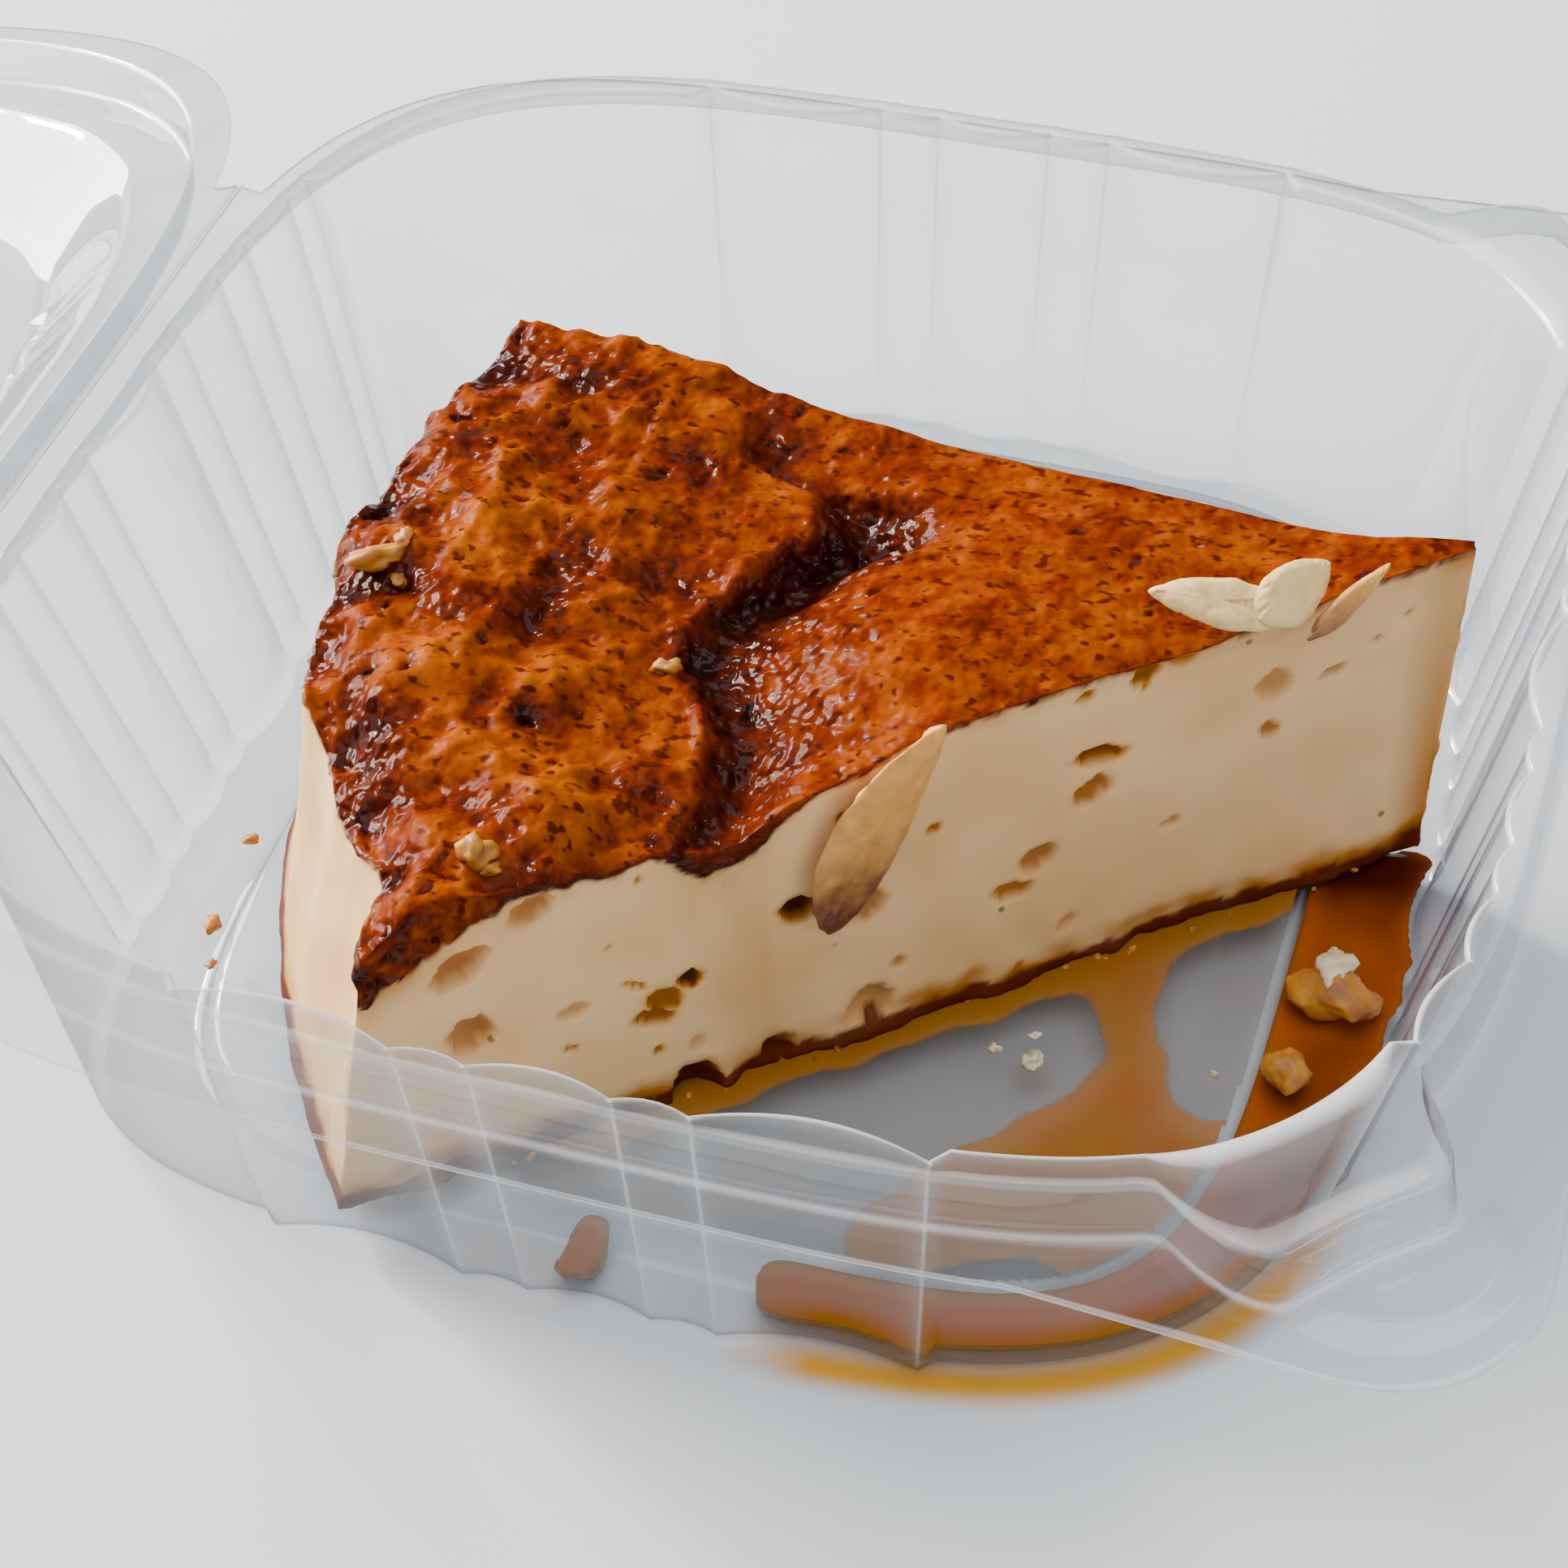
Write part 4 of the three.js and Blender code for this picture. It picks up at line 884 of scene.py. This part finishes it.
class FLANBOX_PG_look(PropertyGroup):
    tint: colour_property("Sheet tint", "Colour of light that passes one clear sheet", "#FAFBFC")
    edge_tint: colour_property(
        "Sheet edge tint", "Colour of light that passes the sheet almost edge on", "#8A8D9A",
    )
    # White of the folds and cut edge: partly stress whitening, partly painted highlight
    fold: FloatProperty(
        name="Fold white", description="How white the sheet's folds and cut edge are", default=0.6, min=0,
        max=1,
    )
    relief: FloatProperty(
        name="Skin relief", description="Height of the small lumps in the caramel skin, in millimetres",
        default=0.75, min=0, max=2,
    )
    custard: colour_property("Custard", "Cut custard in its palest places", "#F0C58C")
    custard_warm: colour_property("Warm custard", "Cut custard in its warmer places", "#E7B67A")
    # The stain colour also paints the shade inside the hollows of the cut
    stain_and_shade: colour_property("Stain", "Custard that has soaked up caramel", "#AE6C1C")
    caramel_light: colour_property("Light caramel", "Thin caramel skin", "#8E3E02")
    caramel_mid: colour_property("Middle caramel", "Most of the caramel skin", "#6A2000")
    caramel_dark: colour_property("Dark caramel", "Burnt caramel skin", "#3C0D01")
    film: colour_property("Thin sauce", "Caramel sauce where it is a thin film", "#9E6600")
    amber: colour_property("Middle sauce", "Caramel sauce of middling depth", "#A84C00")
    deep: colour_property("Deep sauce", "Caramel sauce where it is deep", "#4A0F02")


class FLANBOX_PG_stage(PropertyGroup):
    floor: colour_property("Table", "Plain table top", "#DFE5E9")
    key: FloatProperty(
        name="Key light", description="Power of the window on the left", default=41, min=0, unit="POWER",
    )
    fill: FloatProperty(
        name="Fill light", description="Power of the soft light over the table", default=17, min=0,
        unit="POWER",
    )


# Operators


class FLANBOX_OT_box(Operator):
    """Build the clear tray, its lid and the strip that hinges them"""

    bl_idname = "flanbox.build_box"
    bl_label = "Clear box"

    def execute(self, context):
        look = context.scene.flanbox_look
        material = clear_sheet_material(look)
        tray = finished("tray_sheet", box_sheet(tray_rows), "tray_body", material)
        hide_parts("box_tray")
        lid_mesh = box_sheet(lid_rows)
        pivot = Vector((HINGE_X, 0, HINGE_Z))
        opened = Matrix.Rotation(-math.radians(180 + LID_OPEN_TILT), 4, "Y")
        for v in lid_mesh.verts:
            v.co = opened @ (v.co - pivot) + pivot
        lid = finished("lid_sheet", lid_mesh, "lid_body", material)
        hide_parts("box_lid")
        strip_mesh = grid(6, 40)
        for v in strip_mesh.verts:
            across, along = STRIP_WIDTH * (v.co.x - 0.5), v.co.y * 2 - 1
            sag = 0.6 * max(0.0, (STRIP_WIDTH / 2) ** 2 - across * across)
            v.co = (HINGE_X + across, along * HINGE_HALF, HINGE_Z - STRIP_DROP - sag)
        strip = finished("hinge_strip", strip_mesh, None, material)
        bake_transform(strip)
        return {"FINISHED"}


class FLANBOX_OT_flan(Operator):
    """Build the wedge of custard with its caramel skin"""

    bl_idname = "flanbox.build_flan"
    bl_label = "Flan wedge"

    along, across, levels = 236, 120, 70

    def execute(self, context):
        look = context.scene.flanbox_look
        bm = grid(self.along, self.across)
        close_below(bm, [1 - k / self.levels for k in range(1, self.levels + 1)])
        layers = [bm.verts.layers.float.new(name) for name in ("skin", "burnt", "stain_and_shade", "foot")]
        skin, burnt = layers[:2]
        heights = {}
        for v in bm.verts:
            fraction, share, level = v.co
            key = (round(fraction, 5), round(share, 5))
            if key not in heights:
                reach = TIP_RADIUS + (top_radius(share) - TIP_RADIUS) * fraction
                heights[key] = top_height(reach, share, look.relief)
            height, dark, pit = heights[key]
            co = wedge_point(fraction, share, level, height)
            v[burnt] = dark
            if level > 0.9999:
                v[skin] = 1.0
                if share > 0.9999:
                    co += FRONT_NORMAL * 0.25 * noise.noise(co / 2.2)
            else:
                co = self.side_vertex(v, co, fraction, share, height, layers)
            v.co = co
        obj = finished("flan_custard", bm, "tray_body", flan_material(look))
        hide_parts("flan_wedge")
        return {"FINISHED"}

    def side_vertex(self, v, co, fraction, share, height, layers):
        """Moves one vertex of the sides into its bubbles and unevenness, and marks its stains and the painted
        shade in its bubbles.
        """
        skin, burnt, stain_and_shade, foot = layers
        z, below = co.z, height - co.z
        away = co - Vector((*TIP, 0))
        s = away.dot(FRONT_ALONG)
        front = share > 0.9999
        ragged = 0.5 * noise.noise(co / 2.0) + 0.35 * noise.noise(co / 0.8)
        corner = step(90, 102, s) if front else step(0.93, 1.0, share) * step(0.9, 1, fraction)
        droop = 4.2 + 3.2 * noise.noise(Vector((s, share * 90, 5)) / 2.6)
        thick = 0.5 + 0.45 * corner + corner * droop + 0.6 * ragged
        if front:
            thick += 1.8 * step(64, 69, s) * step(80, 73, s) + 0.8 * step(78, 88, s)
            thick += 0.9 * max(0.0, noise.noise(Vector((s, 0, 3)) / 2.2)) * step(50, 60, s)
        v[skin] = step(thick + 0.25, thick - 0.25, below)
        edge = step(1.2, 0.2, abs(below - thick))
        v[burnt] += 0.04 + (0.16 - 0.12 * corner) * edge + 0.3 * noise.noise(co / 1.5) * corner
        amber = 0.34 * step(thick + 2.2, thick, below) * (0.5 + noise.noise(co / 3.0))
        line = 1.5 + 0.9 * noise.noise(Vector((s, share * 70, 2)) / 2.6) + 0.5 * ragged
        low = z - WEDGE_FOOT_Z
        v[foot] = 0.95 * step(line + 0.2, line - 0.2, low)
        patchy = max(0.0, 0.6 + 0.9 * noise.noise(Vector((s, z * 2, 1)) / 4.0))
        amber += 1.4 * step(line + 2.6, line, low) * patchy
        if front:
            # caramel holds the bubbles' caramel together with the painted shade inside them
            depth, caramel = bubble_depth(s, z)
            run = 0.5 + 0.5 * noise.noise(Vector((s / 2.5, z / 9, 7)))
            amber += 0.42 * step(6.5, 0, abs(s - 70.0 - 0.12 * (z - 16))) * run
            amber += 0.55 * step(93, 102, s) * step(12, 3, below)
            amber += step(5.5, 0, s) * (0.45 + 0.55 * step(34, 6, z))
            amber = max(amber * (1 - 0.7 * min(1.0, depth)), caramel)
            wave = 0.14 * noise.noise(Vector((s, z * 0.35, 3)) / 3.2)
            wave += 0.05 * noise.noise(Vector((s, z * 0.3, 1)) / 0.9)
            lumpy = 0.7 * v[skin] * noise.noise(co / 1.3) * (0.3 + corner)
            co = co + FRONT_NORMAL * (wave - depth + 0.5 * v[foot] * ragged + lumpy)
        elif fraction > 0.9999:
            radial = away.normalized()
            radial.z = 0
            co = co + radial * (0.35 * noise.noise(co / 6.0) + 0.16 * ragged + (0.3 + 0.8 * ragged) * v[skin])
            amber += 0.25 * max(0.0, noise.noise(co / 5.0 + Vector((0, 0, 40))))
        elif fraction < 0.0001:
            co = co + Vector((0.9 * noise.noise(Vector((0, 0, z)) / 3.4) + 0.3 * ragged, 0.5 * ragged, 0))
            amber += 0.3 + 0.5 * step(34, 6, z) + 0.25 * ragged
        else:
            co = co + Vector((0, 0.3 * ragged, 0))
        v[stain_and_shade] = max(0.0, amber)
        return co


class FLANBOX_OT_sauce(Operator):
    """Build the caramel in the moat and the thin film on the raised floor"""

    bl_idname = "flanbox.build_sauce"
    bl_label = "Caramel sauce"

    def execute(self, context):
        material = sauce_material(context.scene.flanbox_look)
        stations = wall_stations()
        for name, cad, low, high, columns, blunt in (
            ("pool", "caramel_pool", -77, 8, 150, 1.1), ("bead", "caramel_bead", -93.6, -90.2, 26, 0.3),
        ):
            bm = grid(columns, 14)
            close_below(bm, (0.6, 0.25, 0))
            depth = bm.verts.layers.float.new("depth")
            for v in bm.verts:
                along, across, level = v.co
                angle = math.radians(low + (high - low) * along)
                at = angle % TAU
                inset = min(stations, key=lambda row: abs(row[0] - at))[1]
                inner = floor_edge((angle, 0), 1.5 + 0.3 - 1.2 * level)
                outer = wall_foot((angle, inset), 1.5 - 1.2 * level)
                end = min(along, 1 - along) * (high - low) * 1.1
                taper = 1 - 0.6 * math.exp(-end / blunt)
                share = 0.5 + (across - 0.5) * taper
                x, y = between(inner, outer, share)
                rise = 0.5 * abs(2 * across - 1) ** 6 + 0.1 * noise.noise(Vector((x, y, 0)) / 6)
                z = 1.0 + (2.0 + rise) * level - 0.8 * math.exp(-end / 0.5) * level
                near = step(-35, -60, low + (high - low) * along)
                dark = 0.64 - 0.28 * near + 0.45 * step(-6, 4, low + (high - low) * along)
                v[depth] = dark - 0.3 * abs(2 * across - 1) ** 4 - 0.25 * math.exp(-end / 1.0)
                v.co = (x, y, z)
            obj = finished("caramel_" + name + "_liquid", bm, "tray_body", material)
            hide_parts(cad)
        self.film(material)
        return {"FINISHED"}

    def film(self, material):
        """The film, and a faint brown sheet over the rest of the floor before the cut, painting the shade and
        reflection there.
        """
        bm = grid(190, 180)
        depth = bm.verts.layers.float.new("depth")
        for v in bm.verts:
            v.co = (-10 + 66 * v.co.x, -58 + 62 * v.co.y, 0)
        gone = []
        for v in bm.verts:
            away = v.co.length
            edge = math.hypot(*rounded_square(math.atan2(v.co.y, v.co.x), FLOOR_HALF, FLOOR_SQUARENESS))
            before_cut = (v.co - Vector((*TIP, 0))).dot(FRONT_NORMAL)
            if away > edge - 0.4 or before_cut < -2:
                gone.append(v)
            inside = film_depth(v.co.x, v.co.y)
            # Below zero, depth marks the painted shade and reflection on the bare floor
            v[depth] = 0.12 * step(0, 4, inside) if inside > 0 else max(-1.0, inside / 0.35)
            v.co.z = FLOOR_Z + 0.02 + 0.3 * (1 - math.exp(-max(0.0, inside) / 0.5))
        bmesh.ops.delete(bm, geom=gone, context="VERTS")
        finished("caramel_film", bm, "tray_body", material)


class FLANBOX_OT_almonds(Operator):
    """Dress the almond slices and nut chips"""

    bl_idname = "flanbox.build_almonds"
    bl_label = "Almonds"

    def execute(self, context):
        pale = nut_material("Almond sliced raw", "#F2CC86", "#6A2A08", 0.1)
        tanned = nut_material("Almond sliced lightly toasted", "#E4A04A", "#5A2006", 0.2)
        toasted = nut_material("Almond toasted", "#CC8418", "#6E3004", 0.15)
        for name, low, high, cuts, rough in (
            ("almond_slice_hanging", 34, 20, 5, 0.22),
            ("almond_slice_pair", 39.0, 36.5, 5, 0.16),
            ("almond_sliver_toasted", 41.5, 37, 4, 0.14),
        ):
            finish = pale if "pair" in name else tanned
            self.refined(name, cuts, rough, finish, lambda co, low=low, high=high: step(low, high, co.z))
        for name in ("nut_chip_large", "nut_chip_small"):
            self.refined(name, 4, 0.3, toasted, lambda co: 0.6 * noise.noise(co / 2.2) + 0.3)
        return {"FINISHED"}

    def refined(self, name, cuts, rough, material, toast):
        """A finer and rougher skin over one CAD node."""
        bm = bmesh.new()
        bm.from_mesh(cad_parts[name].data)
        for v in bm.verts:
            v.co = v.co / MM - SHIFT
        bmesh.ops.remove_doubles(bm, verts=bm.verts, dist=1e-4)
        soften = 0.08 if "chip" in name else 0.35
        bmesh.ops.subdivide_edges(bm, edges=bm.edges, cuts=cuts, use_grid_fill=True, smooth=soften)
        toasted = bm.verts.layers.float.new("toasted")
        bm.normal_update()
        for v in bm.verts:
            v[toasted] = min(1.0, max(0.0, toast(v.co) + 0.3 * noise.noise(v.co / 1.8)))
        for v in bm.verts:
            v.co = v.co + v.normal * rough * (noise.noise(v.co / 1.6) + 0.4 * noise.noise(v.co / 0.6))
        obj = finished(name + "_skin", bm, "tray_body", material)
        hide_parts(name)


class FLANBOX_OT_crumbs(Operator):
    """Scatter the crumbs on the caramel, round the foot and on the floor of the tray"""

    bl_idname = "flanbox.build_crumbs"
    bl_label = "Crumbs"

    def execute(self, context):
        relief = context.scene.flanbox_look.relief
        golden = nut_material("Almond crumb toasted", "#CC8214", "#6E3004", 0.1)
        chip = nut_material("Almond chip raw", "#E9DDBE", "#C2A266", 0.2)
        draw = random.Random(5)
        lumps = [(x, y, top_at(x, y, relief) + 0.35 * r, r) for x, y, r in CRUMBS_ON_TOP]
        for _ in range(CRUMBS_AT_CUT):
            along = draw.uniform(8, 96)
            place = Vector((*TIP, 0)) + FRONT_ALONG * along + FRONT_NORMAL * draw.uniform(1.0, 2.6)
            lumps.append((place.x, place.y, FLOOR_Z + 0.3, draw.uniform(0.2, 0.5)))
        for x, y in CRUMBS_BY_WALL:
            lumps.append((x, y, FLOOR_Z + 0.4, draw.uniform(0.6, 0.9)))
        self.lumps("crumbs_golden", lumps, golden, "toasted_nut", draw)
        lumps = [(x, y, FLOOR_Z + 0.25 * r, r) for x, y, r in CHIPS_ON_FLOOR] + CHIPS_IN_POOL
        self.lumps("chips_pale", lumps, chip, "almond", draw)
        return {"FINISHED"}

    def lumps(self, name, places, material, slot, draw):
        bm = bmesh.new()
        for x, y, z, r in places:
            made = bmesh.ops.create_icosphere(bm, subdivisions=3, radius=r)["verts"]
            seed = Vector((draw.uniform(0, 50), draw.uniform(0, 50), 0))
            stretch = Vector((draw.uniform(0.8, 1.4), draw.uniform(0.7, 1.1), draw.uniform(0.5, 0.8)))
            turn = Matrix.Rotation(draw.uniform(0, TAU), 3, "Z")
            for v in made:
                unit = v.co / r
                bulge = 1 + 0.75 * noise.noise(unit * 1.1 + seed) + 0.25 * noise.noise(unit * 3 + seed)
                v.co = turn @ Vector([a * b for a, b in zip(v.co * bulge, stretch)]) + Vector((x, y, z))
        toasted = bm.verts.layers.float.new("toasted")
        for v in bm.verts:
            v[toasted] = min(1.0, max(0.0, 0.3 + 0.8 * noise.noise(v.co / 0.9)))
        finished(name, bm, "tray_body", material, weld=0)


class FLANBOX_OT_stage(Operator):
    """Set the table, the light and the camera"""

    bl_idname = "flanbox.build_stage"
    bl_label = "Stage"

    def execute(self, context):
        stage = context.scene.flanbox_stage
        bm = bmesh.new()
        bmesh.ops.create_grid(bm, x_segments=1, y_segments=1, size=3.0)
        mesh = bpy.data.meshes.new("table_top")
        bm.to_mesh(mesh)
        bm.free()
        mesh.materials.append(self.table_material(stage))
        table = bpy.data.objects.new("table_top", mesh)
        context.scene.collection.objects.link(table)
        world = bpy.data.worlds.new("pale_room")
        world.use_nodes = True
        world.node_tree.nodes["Background"].inputs[0].default_value = srgb("#E9EEF2")
        world.node_tree.nodes["Background"].inputs[1].default_value = 0.34
        context.scene.world = world
        middle = SHIFT * MM
        for name, place, size, power, colour in (
            ("window_left", (-0.98, 0.3, 0.46), (0.7, 0.6), stage.key, "#FFFAF0"),
            ("window_gap", (-0.8, 0.45, 0.55), (0.09, 0.09), stage.key * 0.19, "#FFFCF5"),
            ("soft_over", (0.05, -0.1, 1.35), (1.5, 1.5), stage.fill, "#F6FAFF"),
            ("strip_right", (0.72, -0.2, 0.35), (0.5, 0.06), stage.fill * 0.06, "#FFFFFF"),
        ):
            light = bpy.data.lights.new(name, "AREA")
            light.shape = "RECTANGLE"
            light.size, light.size_y = size
            light.energy = power
            light.color = srgb(colour)[:3]
            lamp = bpy.data.objects.new(name, light)
            lamp.location = Vector(place) + middle
            lamp.rotation_euler = (middle - lamp.location).to_track_quat("-Z", "Y").to_euler()
            context.scene.collection.objects.link(lamp)
        camera = bpy.data.cameras.new("photo_camera")
        camera.sensor_width = 36
        camera.lens = CAMERA_LENS_MM
        camera.dof.use_dof = False
        holder = bpy.data.objects.new("photo_camera", camera)
        holder.location = (Vector(CAMERA_AT) + SHIFT) * MM
        holder.rotation_euler = Euler([math.radians(turn) for turn in CAMERA_TURN_DEG], "XYZ")
        context.scene.collection.objects.link(holder)
        context.scene.camera = holder
        return {"FINISHED"}

    def table_material(self, stage):
        """Painted board, matt, with painted light: an amber band in front of the tray paints the light that
        has passed the sauce.
        """
        material, tree = new_material("Board painted matt")
        at = node(tree, "ShaderNodeTexCoord").outputs["Object"]
        # The painted amber light follows the foot of the tray's near wall, a rounded square
        moved = node(tree, "ShaderNodeVectorMath", {0: at, 1: SHIFT * MM}, operation="SUBTRACT")
        halves = (WALL_FOOT_HALF[1] * MM, WALL_FOOT_HALF[2] * MM, 1)
        scaled = node(tree, "ShaderNodeVectorMath", {0: moved.outputs[0], 1: halves}, operation="DIVIDE")
        size = node(tree, "ShaderNodeVectorMath", {0: scaled.outputs[0]}, operation="ABSOLUTE")
        parts = node(tree, "ShaderNodeSeparateXYZ", {0: size.outputs[0]})
        powers = [
            node(tree, "ShaderNodeMath", {0: parts.outputs[k], 1: WALL_FOOT_SQUARENESS[1]}, operation="POWER")
            for k in (0, 1)
        ]
        total = node(tree, "ShaderNodeMath", {
            0: powers[0].outputs[0], 1: powers[1].outputs[0],
        }, operation="ADD")
        reach = node(tree, "ShaderNodeMath", {
            0: total.outputs[0], 1: 1 / WALL_FOOT_SQUARENESS[1],
        }, operation="POWER")
        inner = node(tree, "ShaderNodeMapRange", {
            "Value": reach.outputs[0], 1: 0.94, 2: 1.0, 3: 0.0, 4: 1.0,
        }, interpolation_type="SMOOTHSTEP")
        outer = node(tree, "ShaderNodeMapRange", {
            "Value": reach.outputs[0], 1: 1.005, 2: 1.05, 3: 1.0, 4: 0.0,
        }, interpolation_type="SMOOTHSTEP")
        sides = node(tree, "ShaderNodeSeparateXYZ", {0: moved.outputs[0]})
        begin = node(tree, "ShaderNodeMapRange", {
            "Value": sides.outputs[0], 1: 0.012, 2: 0.02, 3: 0.0, 4: 1.0,
        })
        near = node(tree, "ShaderNodeMapRange", {
            "Value": sides.outputs[1], 1: -0.03, 2: -0.045, 3: 0.0, 4: 1.0,
        })
        band = node(tree, "ShaderNodeMath", {0: inner.outputs[0], 1: outer.outputs[0]}, operation="MULTIPLY")
        stretch = node(tree, "ShaderNodeMath", {
            0: begin.outputs[0], 1: near.outputs[0],
        }, operation="MULTIPLY")
        painted_sauce_light = node(tree, "ShaderNodeMath", {0: band.outputs[0], 1: stretch.outputs[0]}, operation="MULTIPLY")
        colour = node(tree, "ShaderNodeMix", {
            0: painted_sauce_light.outputs[0], 6: (*stage.floor, 1), 7: srgb("#E0A030"),
        }, data_type="RGBA")
        shader = node(tree, "ShaderNodeBsdfDiffuse", {"Color": colour.outputs[2]})
        node(tree, "ShaderNodeOutputMaterial", {"Surface": shader.outputs[0]})
        return material


BUILDERS = (
    FLANBOX_OT_box, FLANBOX_OT_flan, FLANBOX_OT_sauce,
    FLANBOX_OT_almonds, FLANBOX_OT_crumbs, FLANBOX_OT_stage,
)


class FLANBOX_PT_panel(Panel):
    bl_idname = "FLANBOX_PT_panel"
    bl_label = "Flan box"
    bl_space_type = "VIEW_3D"
    bl_region_type = "UI"
    bl_category = "Flan"

    def draw(self, context):
        for group in (context.scene.flanbox_look, context.scene.flanbox_stage):
            for name in group.bl_rna.properties.keys():
                if name not in ("rna_type", "name"):
                    self.layout.prop(group, name)
        for builder in BUILDERS:
            self.layout.operator(builder.bl_idname)


CLASSES = (FLANBOX_PG_look, FLANBOX_PG_stage, *BUILDERS, FLANBOX_PT_panel)


def register():
    for cls in CLASSES:
        bpy.utils.register_class(cls)
    bpy.types.Scene.flanbox_look = PointerProperty(type=FLANBOX_PG_look)
    bpy.types.Scene.flanbox_stage = PointerProperty(type=FLANBOX_PG_stage)


def unregister():
    del bpy.types.Scene.flanbox_stage
    del bpy.types.Scene.flanbox_look
    for cls in reversed(CLASSES):
        bpy.utils.unregister_class(cls)


def main():
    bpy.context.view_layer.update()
    register()
    for builder in BUILDERS:
        group, name = builder.bl_idname.split(".")
        getattr(getattr(bpy.ops, group), name)()


if __name__ == "__main__":
    main()
